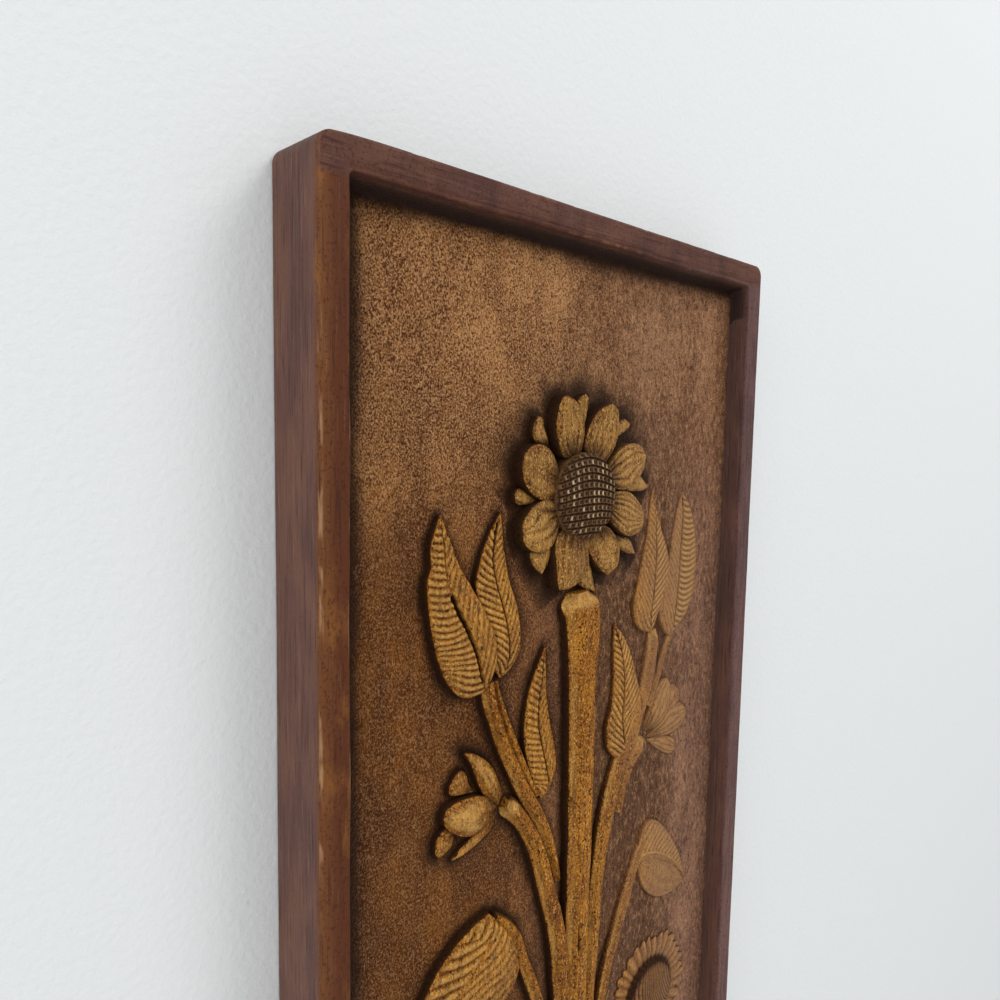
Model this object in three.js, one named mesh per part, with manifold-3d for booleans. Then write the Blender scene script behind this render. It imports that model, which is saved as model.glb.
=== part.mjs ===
// A carved wooden wall plaque: one upright board with a sunk field inside a plain raised rim.
// A spray of flowers stands in low relief on the field, cut from the same board: a sunflower on a thick stem,
// ribbed leaves and opening buds on side stems, two drooping leaves and two daisies.
//
// Millimetres, +Z up. The origin is the middle of the flat back, which lies on the wall, and the front faces -Y.
// The carving is worked out lying flat: x to the right, y up, and the height above the back towards the viewer.

import * as THREE from "three";
import { mergeVertices } from "three/addons/utils/BufferGeometryUtils.js";
import Module from "manifold-3d";

const wasm = await Module();
wasm.setup();

// The board
const boardWidth = 230;
const boardHeight = 513;
const boardThickness = 25;
const cornerRadius = 5;
const arrisRound = 2;

// The sunk field and the rim round it, which is wider along the top
const rimWidth = 9.5;
const topRailWidth = 12.5;
const sunkDepth = 9;
const fieldCornerRadius = 2.5;
const rimWallLean = 1.5;

// The pocket chiselled in the back, which drops over a nail or a hook
const pocketWidth = 14;
const pocketHeight = 22;
const pocketBelowTop = 70;
const woodBeforePocket = 6;

// The sunflower
const sunflowerRadius = 37.5;
const sunflowerPetals = 8;
const petalHalfWidth = 8.2;
const seedHeadRadius = 16;
const seedStuds = 9;
const seedGrooveDepth = 0.9;

// The daisies
const daisyRadius = 29;
const daisyPetals = 20;
const daisyHeadRadius = 14.5;

// The leaves
const leafRibs = 8;
const leafRibDepth = 0.6;
const leafGrooveDepth = 1.5;

const fieldWidth = boardWidth - 2 * rimWidth;
const fieldHeight = boardHeight - topRailWidth - rimWidth;
const fieldTop = boardHeight / 2 - topRailWidth;
const groundHeight = boardThickness - sunkDepth;

// The relief is built on roots that reach into the ground, so that it and the board join as one.
const rootDepth = 2;
const rooted = groundHeight - rootDepth;

// The spray is drawn on a sheet of this size, which is spread over the field. Places on it are measured
// to the right of the middle line and down from the top of the field. A motif keeps its own shape.
const sheetWidth = 211;
const sheetHeight = 491;
const across = fieldWidth / sheetWidth;
const down = fieldHeight / sheetHeight;

const at = (x, y) => new THREE.Vector2(x * across, fieldTop - y * down);

// A height in the relief, as a share of the way from the ground up to the face of the rim.
const relief = (share) => groundHeight + share * sunkDepth;

function solidOf(geometry) {
  geometry.deleteAttribute("normal");
  geometry.deleteAttribute("uv");
  const merged = mergeVertices(geometry, 1e-4);
  return new wasm.Manifold(
    new wasm.Mesh({
      numProp: 3,
      vertProperties: merged.attributes.position.array,
      triVerts: new Uint32Array(merged.index.array),
    }),
  );
}

function geometryOf(solid) {
  const mesh = solid.getMesh();
  const geometry = new THREE.BufferGeometry();
  geometry.setAttribute("position", new THREE.BufferAttribute(mesh.vertProperties, 3));
  geometry.setIndex(new THREE.BufferAttribute(mesh.triVerts, 1));
  geometry.computeVertexNormals();
  return geometry;
}

function roundedRectangle(width, height, radius) {
  const right = width / 2;
  const top = height / 2;
  const shape = new THREE.Shape();
  shape.absarc(right - radius, top - radius, radius, 0, Math.PI / 2);
  shape.absarc(radius - right, top - radius, radius, Math.PI / 2, Math.PI);
  shape.absarc(radius - right, radius - top, radius, Math.PI, 1.5 * Math.PI);
  shape.absarc(right - radius, radius - top, radius, 1.5 * Math.PI, 2 * Math.PI);
  return shape;
}

function board() {
  const geometry = new THREE.ExtrudeGeometry(roundedRectangle(boardWidth, boardHeight, cornerRadius), {
    depth: boardThickness - 2 * arrisRound,
    bevelThickness: arrisRound,
    bevelSize: arrisRound,
    bevelOffset: -arrisRound,
    bevelSegments: 3,
    curveSegments: 4,
  });
  return solidOf(geometry.translate(0, 0, arrisRound));
}

// What is cut away for the field. Its walls lean outwards towards the front.
function sunkField() {
  const above = 1;
  const lean = rimWallLean * (1 + above / sunkDepth);
  const shape = roundedRectangle(fieldWidth - 2 * rimWallLean, fieldHeight - 2 * rimWallLean, fieldCornerRadius);
  const geometry = new THREE.ExtrudeGeometry(shape, {
    depth: sunkDepth + above,
    bevelEnabled: false,
    curveSegments: 3,
  });
  const points = geometry.attributes.position;
  for (let i = 0; i < points.count; i++) {
    if (points.getZ(i) < sunkDepth) continue;
    points.setX(i, points.getX(i) + Math.sign(points.getX(i)) * lean);
    points.setY(i, points.getY(i) + Math.sign(points.getY(i)) * lean);
  }
  return solidOf(geometry.translate(0, fieldTop - fieldHeight / 2, groundHeight));
}

function hangingPocket() {
  const below = 1;
  const depth = groundHeight - woodBeforePocket + below;
  const ceiling = boardHeight / 2 - pocketBelowTop;
  return solidOf(
    new THREE.BoxGeometry(pocketWidth, pocketHeight, depth).translate(
      0,
      ceiling - pocketHeight / 2,
      depth / 2 - below,
    ),
  );
}

const steps = (count, from = 0, to = 1) =>
  Array.from({ length: count + 1 }, (_, i) => from + ((to - from) * i) / count);

// A block rooted in the ground whose top is surface(t, u), for t in rows along it and u in columns across it,
// from its left side to its right as its end is looked at from its start.
function slab(rows, columns, surface) {
  const block = new THREE.BoxGeometry(1, 1, 1, columns.length - 1, rows.length - 1, 1);
  const points = block.attributes.position;
  for (let i = 0; i < points.count; i++) {
    const column = columns[Math.round((points.getX(i) + 0.5) * (columns.length - 1))];
    const row = rows[Math.round((points.getY(i) + 0.5) * (rows.length - 1))];
    const isTop = points.getZ(i) > 0;
    const point = surface(row, column);
    points.setXYZ(i, point.x, point.y, isTop ? point.z : rooted);
  }
  return solidOf(block);
}

// The half width of a blade along its length, 1 at its widest: it opens at the base as t to the power of
// opening, and closes at the tip as (1 - t) to the power of closing.
function bladeWidth(t, opening, closing) {
  const widest = opening / (opening + closing);
  const most = widest ** opening * (1 - widest) ** closing;
  return (t ** opening * (1 - t) ** closing) / most;
}

// A leaf or petal from base to tip. bow pushes its middle line to the right, and height(t, u) is its top.
// slant carries the cross lines towards the tip as they near the edge, as leaf ribs run.
function blade({ base, tip, bow = 0, left, right, opening, closing, rows, columns, slant = 0, height }) {
  const leastHalf = 0.25;
  const along = new THREE.Vector2().subVectors(tip, base);
  const side = new THREE.Vector2(along.y, -along.x).normalize();
  const knee = new THREE.Vector2().addVectors(base, tip).multiplyScalar(0.5).addScaledVector(side, 2 * bow);
  const midrib = new THREE.QuadraticBezierCurve(base, knee, tip);
  return slab(rows, columns, (t, u) => {
    const reach = t + slant * Math.abs(u) * 4 * t * (1 - t);
    const point = midrib.getPoint(reach);
    const tangent = midrib.getTangent(reach);
    const half = Math.max(leastHalf, (u < 0 ? left : right) * bladeWidth(reach, opening, closing));
    return new THREE.Vector3(point.x + tangent.y * u * half, point.y - tangent.x * u * half, height(t, u));
  });
}

// A stem through points given as [x, y, width], with a flat crest and bevelled sides.
function stem(points, crest = 0.62, rowCount = 11) {
  const flank = 0.25;
  const crestShare = 0.55;
  const line = new THREE.CatmullRomCurve3(
    points.map(([x, y, width]) => {
      const place = at(x, y);
      return new THREE.Vector3(place.x, place.y, width / 2);
    }),
  );
  return slab(steps(rowCount), [-1, -crestShare, crestShare, 1], (t, u) => {
    const point = line.getPoint(t);
    const tangent = line.getTangent(t).setZ(0).normalize();
    const offset = -u * point.z;
    const height = Math.abs(u) < 1 ? relief(crest) : relief(flank);
    return new THREE.Vector3(point.x - tangent.y * offset, point.y + tangent.x * offset, height);
  });
}

// A ribbed leaf, its two halves swelling on either side of a grooved midrib.
function leaf(base, tip, bow, left, right, crest = 0.56) {
  const edge = 0.5 * crest;
  return blade({
    base,
    tip,
    bow,
    left,
    right,
    opening: 0.45,
    closing: 0.9,
    rows: steps(2 * leafRibs),
    columns: [-1, -0.55, 0, 0.55, 1],
    slant: 0.1,
    height: (t, u) => {
      const swell = relief(edge + (crest - edge) * (1 - u * u));
      const isFurrow = Math.round(t * 2 * leafRibs) % 2 === 1;
      if (u === 0) return swell - leafGrooveDepth;
      return isFurrow && Math.abs(u) < 1 ? swell - leafRibDepth : swell;
    },
  });
}

// A smooth petal whose top rises from start at its base to end at its tip, as shares of the relief.
function petal(base, tip, half, start, end, { bow = 0, opening = 0.7, closing = 0.45, rowCount = 6 } = {}) {
  const roundOff = 0.18;
  return blade({
    base,
    tip,
    bow,
    left: half,
    right: half,
    opening,
    closing,
    rows: steps(rowCount),
    columns: [-1, -0.55, 0.55, 1],
    height: (t, u) => relief(start + (end - start) * Math.sqrt(t) - roundOff * u ** 4 - roundOff * t ** 8),
  });
}

const fromCentre = (centre, radius, angle) =>
  new THREE.Vector2(centre.x + radius * Math.cos(angle), centre.y + radius * Math.sin(angle));

// The domed head of the sunflower, crossed both ways by grooves that leave square studs.
function studdedHead(centre) {
  const edge = 0.72;
  const pitch = (2 * seedHeadRadius) / seedStuds;
  const grooveShare = 0.3;
  const stops = [];
  for (let i = 0; i < seedStuds; i++) {
    const start = -seedHeadRadius + i * pitch;
    stops.push(
      { place: start, isGroove: true },
      { place: start + (grooveShare / 2) * pitch, isGroove: false },
      { place: start + (1 - grooveShare / 2) * pitch, isGroove: false },
    );
  }
  stops.push({ place: seedHeadRadius, isGroove: true });
  const dome = slab(stops, stops, (row, column) => {
    const share = Math.min(1, Math.hypot(column.place, row.place) / seedHeadRadius);
    const cut = row.isGroove || column.isGroove ? seedGrooveDepth : 0;
    const height = relief(edge + (1 - edge) * (1 - share ** 2)) - cut;
    return new THREE.Vector3(centre.x + column.place, centre.y + row.place, height);
  });
  const round = new THREE.CylinderGeometry(seedHeadRadius, seedHeadRadius, 2 * boardThickness, 32)
    .rotateX(Math.PI / 2)
    .translate(centre.x, centre.y, 0);
  return dome.intersect(solidOf(round));
}

function sunflower(centre) {
  const petalStart = 0.35;
  const petalEnd = 0.78;
  const sepalReach = 1.02;
  const pieces = [studdedHead(centre)];
  for (let i = 0; i < sunflowerPetals; i++) {
    const turn = (2 * Math.PI) / sunflowerPetals;
    const between = i * turn;
    const middle = between + turn / 2;
    const base = fromCentre(centre, seedHeadRadius - 4, middle);
    const tip = fromCentre(centre, sunflowerRadius, middle);
    pieces.push(petal(base, tip, petalHalfWidth, petalStart, petalEnd));
    const sepalBase = fromCentre(centre, seedHeadRadius, between);
    const sepalTip = fromCentre(centre, sunflowerRadius * sepalReach, between);
    pieces.push(
      petal(sepalBase, sepalTip, petalHalfWidth * 0.55, 0.3, 0.45, { closing: 0.9, rowCount: 4 }),
    );
  }
  return pieces;
}

// A daisy turned as one round: a domed head inside a fringe of petals, each a ridge between two furrows.
function daisy(centre) {
  const petalRise = 0.22;
  const petalCrest = 0.42;
  const furrow = 0.14;
  const notch = 0.88;
  const headFoot = 0.35;
  const headCrown = 0.8;
  const domeRings = 4;
  const profile = [
    new THREE.Vector2(0, rooted),
    new THREE.Vector2(daisyRadius, rooted),
    new THREE.Vector2(daisyRadius, relief(petalRise)),
    new THREE.Vector2(daisyHeadRadius + 0.6 * (daisyRadius - daisyHeadRadius), relief(petalCrest)),
    new THREE.Vector2(daisyHeadRadius + 0.5, relief(petalRise)),
  ];
  for (let ring = 0; ring <= domeRings; ring++) {
    const angle = (ring / domeRings) * (Math.PI / 2);
    const height = headFoot + (headCrown - headFoot) * Math.sin(angle);
    profile.push(new THREE.Vector2(ring === domeRings ? 0 : daisyHeadRadius * Math.cos(angle), relief(height)));
  }
  const round = new THREE.LatheGeometry(profile, 2 * daisyPetals).rotateX(Math.PI / 2);
  const points = round.attributes.position;
  for (let i = 0; i < points.count; i++) {
    const isFurrow = Math.floor(i / profile.length) % 2 === 1;
    const place = i % profile.length;
    if (!isFurrow || place < 1 || place > 3) continue;
    const drop = place === 1 ? 0 : furrow * sunkDepth;
    const shrink = place === 3 ? 1 : notch;
    points.setXYZ(i, points.getX(i) * shrink, points.getY(i) * shrink, points.getZ(i) - drop);
  }
  return solidOf(round.translate(centre.x, centre.y, 0));
}

// A bud opening sideways: side is -1 for one that opens to the left, 1 to the right.
function bud(x, y, side) {
  const place = (dx, dy) => at(x, y).add(new THREE.Vector2(side * dx, -dy));
  return [
    petal(place(0, -1), place(16, -22), 5, 0.3, 0.55, { bow: side * 3 }),
    petal(place(13, -8), place(24, -16), 4, 0.3, 0.45),
    petal(place(0, 1), place(27, 1), 6.8, 0.35, 0.66),
    petal(place(18, 6), place(30, 9.5), 3.6, 0.3, 0.42),
    petal(place(2, 4), place(22, 14.5), 2, 0.3, 0.4),
  ];
}

const middleStem = [
  [2.2, 131.5, 17],
  [3.2, 139.5, 18],
  [3.6, 150.5, 16],
  [3.5, 173.5, 13],
  [4, 200, 12.5],
  [4.2, 250, 11.5],
  [4, 290, 11],
  [3, 340, 12],
  [2, 385, 15],
  [1.5, 425, 16],
  [1.5, 452, 20],
];
const leftLeafStem = [
  [-46.5, 156.5, 5],
  [-39.5, 171, 6.5],
  [-29.5, 191, 7],
  [-18.5, 211, 6],
  [-12.5, 232, 5],
  [-7, 272, 5],
  [-3, 310, 5],
  [0, 352, 5],
  [1, 390, 4],
];
const leftBudStem = [
  [-36.5, 202, 7],
  [-26.5, 211.5, 7],
  [-17, 231.5, 8.5],
  [-11, 251.5, 9],
  [-7, 272.5, 8],
  [-4, 297, 7],
  [-2, 330, 6.5],
  [1.5, 387, 5],
];
const rightLeafStem = [
  [51, 156, 5.5],
  [46, 177, 7],
  [40, 190, 7.5],
  [30, 208, 8.5],
  [21, 234, 7],
  [16.5, 257, 6.5],
  [15, 282, 6],
  [11, 326, 6],
  [3.5, 387, 5],
];
const rightTwig = [
  [63.5, 155, 2.5],
  [57, 164, 3],
  [50.5, 178, 3],
];
const rightBudStem = [
  [45.5, 202.5, 6],
  [39, 207, 5],
  [32, 217, 5],
];
const rightDroopingStem = [
  [48, 248, 3],
  [42.5, 257.5, 5],
  [35, 273, 5.5],
  [25, 293.5, 5.5],
  [20, 310.5, 5],
  [13.5, 334, 5],
  [4, 388, 5],
];
const leftDroopingStem = [
  [-41, 243.5, 4],
  [-28.5, 257.5, 4.5],
  [-21, 277, 5],
  [-16.5, 289, 5],
  [-10.5, 310, 5],
  [-4.5, 336, 5],
  [2, 388, 5],
];
const rightDaisyStem = [
  [50, 346, 5],
  [38, 360, 5],
  [20, 376, 5.5],
  [4, 398, 6],
];
const leftDaisyStem = [
  [-48, 346, 5],
  [-36, 360, 5],
  [-18, 376, 5.5],
  [0, 398, 6],
];

function spray() {
  const middleCrest = 0.7;
  const droopCrest = 0.5;
  const rightCrest = 0.38;
  return [
    stem(middleStem, middleCrest, 16),
    stem(leftLeafStem),
    stem(leftBudStem),
    stem(rightLeafStem),
    stem(rightTwig, 0.45, 5),
    stem(rightBudStem, 0.55, 6),
    stem(rightDroopingStem, 0.55),
    stem(leftDroopingStem, 0.55),
    stem(rightDaisyStem, 0.5, 8),
    stem(leftDaisyStem, 0.5, 8),
    leaf(at(-47, 158), at(-66.5, 96), -2, 12.5, 10.5),
    leaf(at(-38, 155), at(-40, 97), -3, 9.5, 7.5, 0.48),
    leaf(at(-16, 207), at(-16, 149), -1.5, 8.5, 6.5, 0.48),
    leaf(at(64, 157), at(71, 92), 3, 10.5, 11, rightCrest),
    leaf(at(49, 153), at(48.5, 92), 0.5, 10, 9.5, rightCrest),
    leaf(at(34, 205), at(24.5, 147), 3, 8.5, 9.5, rightCrest),
    leaf(at(45, 250), at(83, 278), -2, 13, 14, rightCrest),
    leaf(at(-38, 249), at(-79, 279), 2, 18, 13, droopCrest),
    leaf(at(8, 390), at(80, 446), -4, 13, 13, droopCrest),
    leaf(at(-4, 390), at(-77, 446), 4, 13, 13, droopCrest),
    ...bud(-40, 198, -1),
    ...bud(43, 199, 1),
    ...sunflower(at(0, 91)),
    daisy(at(55, 322)),
    daisy(at(-53, 322)),
  ];
}

const carved = wasm.Manifold.union([board().subtract(sunkField()), ...spray()]).subtract(hangingPocket());

const wood = new THREE.MeshStandardMaterial({ color: 0x7a4f2b, roughness: 0.55, metalness: 0 });
const plaque = new THREE.Mesh(geometryOf(carved), wood);
plaque.name = "plaque";
plaque.rotation.x = Math.PI / 2;

const part = new THREE.Group();
part.add(plaque);

export default part;
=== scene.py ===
"""The looks of a carved wooden wall plaque: the board with its raised rim, the punched ground and the spray.

Sizes are in millimetres until a mesh is made. A place on the carving is (x, down): x to the right of the
middle line and down from a little under the top edge. A rise is a height above the ground of the sunk field.
"""

import math

import bpy
import numpy as np
from mathutils import Matrix, Vector, kdtree


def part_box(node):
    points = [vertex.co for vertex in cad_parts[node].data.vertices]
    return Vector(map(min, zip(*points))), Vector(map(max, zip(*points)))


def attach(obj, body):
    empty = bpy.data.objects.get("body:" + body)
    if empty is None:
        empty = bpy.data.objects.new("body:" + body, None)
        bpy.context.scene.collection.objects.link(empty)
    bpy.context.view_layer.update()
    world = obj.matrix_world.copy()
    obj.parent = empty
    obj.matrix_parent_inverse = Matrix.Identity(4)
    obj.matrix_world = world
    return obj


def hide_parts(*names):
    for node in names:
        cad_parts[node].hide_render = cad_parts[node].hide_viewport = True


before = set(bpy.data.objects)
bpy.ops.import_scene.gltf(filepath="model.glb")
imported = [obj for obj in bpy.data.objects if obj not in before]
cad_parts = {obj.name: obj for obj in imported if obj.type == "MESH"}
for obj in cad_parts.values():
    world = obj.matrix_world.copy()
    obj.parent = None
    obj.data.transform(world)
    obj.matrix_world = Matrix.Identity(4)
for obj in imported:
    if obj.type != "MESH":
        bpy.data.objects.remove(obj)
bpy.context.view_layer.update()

MM = 0.001
lowest, highest = (np.array(corner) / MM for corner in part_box("plaque"))

# The board
WIDTH = highest[0] - lowest[0]
HEIGHT = highest[2] - lowest[2]
THICKNESS = highest[1] - lowest[1]
TOP = highest[2]
CORNER = 4.5
ARRIS_ROUND = 1.2
LIP_ROUND = 0.8          # the inner arris of the rim
BACK_ROUND = 0.6

# The sunk field
RIM = 9.5
TOP_RAIL = 12.5
SUNK = 9.0
WALL_LEAN = 1.5
RAIL_PARING = 1.8        # how much further out the inner edges of the top and bottom rails lie
OUT_OF_SQUARE = 3.0      # how much lower the top rail lies at its right end
LEFT_LEAN = 1.3          # how much further right the left side lies at the front than at the back
GROUND = THICKNESS - SUNK

# Places on the carving are measured down from here, one stile's width above the field
DATUM = TOP - TOP_RAIL + RIM

# The pocket in the back
POCKET_WIDTH = 14.0
POCKET_HEIGHT = 22.0
POCKET_BELOW_TOP = 70.0
POCKET_DEPTH = GROUND - 6.0

# The blocks of the carving
ROOT = 1.6       # how far they reach under the ground, so that no gap shows at their foot
CHAMFER = 0.28   # how far out a block's wall begins
FLARE = 0.45     # how far out it ends at the foot

# Where the foot of the middle stem stands across the board
STEM_FOOT = 1.0

# Every ring of the board has this many steps across, steps up and places round each corner
RING_STEPS = (150, 330, 9)


def smoothstep(low, high, value):
    """0 below low, 1 above high, and a smooth rise between."""
    share = np.clip((value - low) / (high - low), 0, 1)
    return share * share * (3 - 2 * share)


def noise(x, y, size, seed):
    """Smooth random values from -1 to 1, with cells of this size. They repeat after 128 cells."""
    cells = 128
    table = np.random.default_rng(seed).uniform(-1, 1, (cells, cells))
    x, y = np.asarray(x, float) / size, np.asarray(y, float) / size
    i, j = np.floor(x).astype(int), np.floor(y).astype(int)
    u, v = x - i, y - j
    u, v = u * u * (3 - 2 * u), v * v * (3 - 2 * v)
    near = table[i % cells, j % cells] * (1 - u) + table[(i + 1) % cells, j % cells] * u
    far = table[i % cells, (j + 1) % cells] * (1 - u) + table[(i + 1) % cells, (j + 1) % cells] * u
    return near * (1 - v) + far * v


def rough(x, y, size, seed):
    """Noise with two finer layers on it."""
    return sum(noise(x, y, size / 2**k, seed + k) / 2**k for k in range(3)) / 1.5


def smooth_path(points, count):
    """Evenly spaced places along a smooth curve through the points. Further columns follow along."""
    knots = np.array(points, float)
    knots = np.vstack([2 * knots[0] - knots[1], knots, 2 * knots[-1] - knots[-2]])
    s = np.linspace(0, 1, 24, endpoint=False)[:, None]
    fine = []
    for a, b, c, d in zip(knots, knots[1:], knots[2:], knots[3:]):
        squared, cubed = 2 * a - 5 * b + 4 * c - d, 3 * b - a - 3 * c + d
        fine.append(0.5 * (2 * b + (c - a) * s + squared * s**2 + cubed * s**3))
    fine = np.vstack(fine + [knots[-2:-1]])
    run = np.concatenate([[0], np.cumsum(np.linalg.norm(np.diff(fine[:, :2], axis=0), axis=1))])
    return np.stack([np.interp(np.linspace(0, run[-1], count), run, column) for column in fine.T], 1)


def border(index):
    """The corners round the edge of a grid, once round."""
    return np.concatenate([index[0], index[1:, -1], index[-1, -2::-1], index[-2:0:-1, 0]])


def grid_faces(index):
    """The faces between the rows and columns of a grid of corners."""
    corners = [index[:-1, :-1], index[1:, :-1], index[1:, 1:], index[:-1, 1:]]
    return [tuple(face) for face in np.stack(corners, -1).reshape(-1, 4)]


def tube_faces(index):
    """The faces between rings of corners."""
    after = np.roll(index, -1, axis=1)
    return [tuple(f) for f in np.stack([index[:-1], index[1:], after[1:], after[:-1]], -1).reshape(-1, 4)]


class Carving:
    """Closed blocks gathered into one mesh. Dirt with painted shade, and wear with painted highlights, from 0
    to 1, are kept at each corner.
    """

    spray = []

    def __init__(self, name, material, halo_reach=None):
        """halo_reach is how far round the blocks the ground is darkened, with stain and painted shade. A
        carving with one belongs to the spray.
        """
        self.name = name
        self.material = material
        self.halo_reach = halo_reach
        self.corners, self.faces, self.dirt, self.wear_and_highlight = [], [], [], []
        self.outlines = []
        self.tops = []
        self.count = 0
        if halo_reach is not None:
            Carving.spray.append(self)

    def add(self, x, down, rise, dirt, wear_and_highlight, faces):
        """Corners at these places, and faces that count from the first of them."""
        shape = np.shape(x)
        height = np.broadcast_to(GROUND + np.asarray(rise), shape)
        self.corners.append(np.stack([x, -height, DATUM - np.asarray(down)], -1).reshape(-1, 3))
        self.dirt.append(np.array(np.broadcast_to(dirt, shape), float).ravel())
        self.wear_and_highlight.append(np.broadcast_to(wear_and_highlight, shape).ravel())
        self.faces += [tuple(int(c) + self.count for c in face) for face in faces]
        self.count += int(np.prod(shape))

    def block(self, x, down, rise, dirt, wear_and_highlight, walls=1.0):
        """A closed block: the grid is its top, and its walls go down under the ground, a little wider there.
        walls says how dark the walls are painted, with dirt and painted shade."""
        rise, dirt, wear_and_highlight, walls = (np.broadcast_to(v, x.shape) for v in (rise, dirt, wear_and_highlight, walls))
        index = np.arange(x.size).reshape(x.shape)
        loop = border(index)
        px, pz = x.ravel()[loop], -down.ravel()[loop]
        if np.sum(px * np.roll(pz, -1) - np.roll(px, -1) * pz) < 0:
            return self.block(*(part[:, ::-1] for part in (x, down, rise, dirt, wear_and_highlight, walls)))
        along = np.stack([np.roll(px, -2) - np.roll(px, 2), np.roll(pz, -2) - np.roll(pz, 2)])
        along /= np.maximum(np.linalg.norm(along, axis=0), 1e-6)
        top = rise.ravel()[loop]
        # The walls are painted dark with dirt and painted shade, less so towards the right.
        wall_dirt_and_shade = walls.ravel()[loop] * (1 - 0.5 * smoothstep(0, 50, px))
        rings = [  # how far out, how high, and how dark with dirt and painted shade
            (0.5 * CHAMFER, top - 0.5 * CHAMFER, dirt.ravel()[loop]),
            (CHAMFER, top - 1.3 * CHAMFER, 0.75 * wall_dirt_and_shade),
            (0.5 * (CHAMFER + FLARE), 0.5 * (top - ROOT), 0.95 * wall_dirt_and_shade),
            (FLARE, -ROOT, 0.95 * wall_dirt_and_shade),
        ]
        levels = [(x, down, rise, dirt, wear_and_highlight)]
        for out, height, darkened in rings:
            ring = (px + along[1] * out, along[0] * out - pz, height, darkened, 0.0)
            levels.append([np.broadcast_to(value, px.shape) for value in ring])
        faces = grid_faces(index[:, ::-1])
        ring = loop
        for k in range(len(rings)):
            lower = x.size + k * len(loop) + np.arange(len(loop))
            faces += list(zip(ring, lower, np.roll(lower, -1), np.roll(ring, -1)))
            ring = lower
        faces.append(tuple(ring[::-1]))
        self.add(*(np.concatenate([part.ravel() for part in values]) for values in zip(*levels)), faces)
        self.outlines.append(np.stack([px, -pz], 1))
        self.tops.append((len(self.corners) - 1, x.size, px, -pz, top))

    def disc(self, centre, radius, rings, turns, rise, dirt, wear_and_highlight, round_to=0.0):
        """A round block. radius, rise, dirt and wear are functions of the share of the radius and the angle.
        Rings up to round_to stay round, whatever the outline does."""
        share = np.linspace(0, 1, rings)[1:, None]
        angle = np.linspace(0, 2 * math.pi, turns, endpoint=False)[None, :]
        largest = np.max(radius(angle))
        reach = share * (largest + (radius(angle) - largest) * smoothstep(round_to - 0.01, 1, share))
        x = centre[0] + reach * np.cos(angle)
        down = centre[1] - reach * np.sin(angle)
        tops = [np.broadcast_to(f(share, angle), x.shape) for f in (rise, dirt, wear_and_highlight)]
        middle = [float(np.mean(f(np.zeros((1, 1)), angle))) for f in (rise, dirt, wear_and_highlight)]
        last = tops[0][-1]
        levels = [(x, down, *tops)]
        # The walls are painted dark with dirt and painted shade.
        for out, height, wall_dirt_and_shade in ((0.15, last - 0.25, 0.3), (0.3, last * 0.5, 0.6), (0.6, -ROOT, 0.8)):
            wall_x = centre[0] + (reach[-1] + out) * np.cos(angle)
            wall_down = centre[1] - (reach[-1] + out) * np.sin(angle)
            wall = (wall_x, wall_down, height, wall_dirt_and_shade, 0.0)
            levels.append([np.broadcast_to(value, wall_x.shape) for value in wall])
        columns = [np.vstack(values) for values in zip(*levels)]
        index = 1 + np.arange(columns[0].size).reshape(-1, turns)
        faces = [(0, int(a), int(b)) for a, b in zip(index[0], np.roll(index[0], -1))]
        faces += tube_faces(index) + [tuple(index[-1][::-1])]
        firsts = (centre[0], centre[1], *middle)
        self.add(*(np.append(first, column) for first, column in zip(firsts, columns)), faces)
        self.outlines.append(np.stack([x[-1], down[-1]], 1))

    def make(self, sharp=50, normals=None):
        """The mesh object, riding on the board."""
        mesh = bpy.data.meshes.new(self.name)
        mesh.from_pydata(np.concatenate(self.corners) * MM, [], self.faces)
        # The first attribute holds dirt with painted shade, the second wear with painted highlights.
        for name, values in (("dirt", self.dirt), ("wear_and_highlight", self.wear_and_highlight)):
            attribute = mesh.attributes.new(name, "FLOAT", "POINT")
            attribute.data.foreach_set("value", np.concatenate(values).astype("f"))
        mesh.materials.append(self.material)
        mesh.shade_smooth()
        if normals is None:
            mesh.set_sharp_from_angle(angle=math.radians(sharp))
        else:
            mesh.normals_split_custom_set_from_vertices(normals)
        piece = bpy.data.objects.new(self.name, mesh)
        bpy.context.scene.collection.objects.link(piece)
        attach(piece, "root")
        return piece


def paint_contact_shade():
    """Paint shade on the top of each block close beside a higher block that stands on it or against it."""
    reach = 3.0
    blocks = [(carving, *top) for carving in Carving.spray for top in carving.tops]
    for carving, part, size, *_ in blocks:
        x, y, z = carving.corners[part][:size].T
        down, height = DATUM - z, -y - GROUND
        darkened = np.zeros(size)
        for other, other_part, _, px, pd, top in blocks:
            if other is carving and other_part == part:
                continue
            beside = (x > px.min() - reach) & (x < px.max() + reach)
            beside &= (down > pd.min() - reach) & (down < pd.max() + reach)
            near = np.flatnonzero(beside)
            if not len(near):
                continue
            apart = np.hypot(x[near, None] - px, down[near, None] - pd)
            step = top[apart.argmin(axis=1)] - height[near]
            # Painted shade: darker close to the foot of a higher block beside it.
            here = 0.85 * np.exp(-(apart.min(axis=1) ** 1.5)) * smoothstep(0.1, 0.9, step)
            darkened[near] = np.maximum(darkened[near], here)
        dirt = carving.dirt[part]
        dirt[:size] = 1 - (1 - dirt[:size]) * (1 - darkened)


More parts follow.
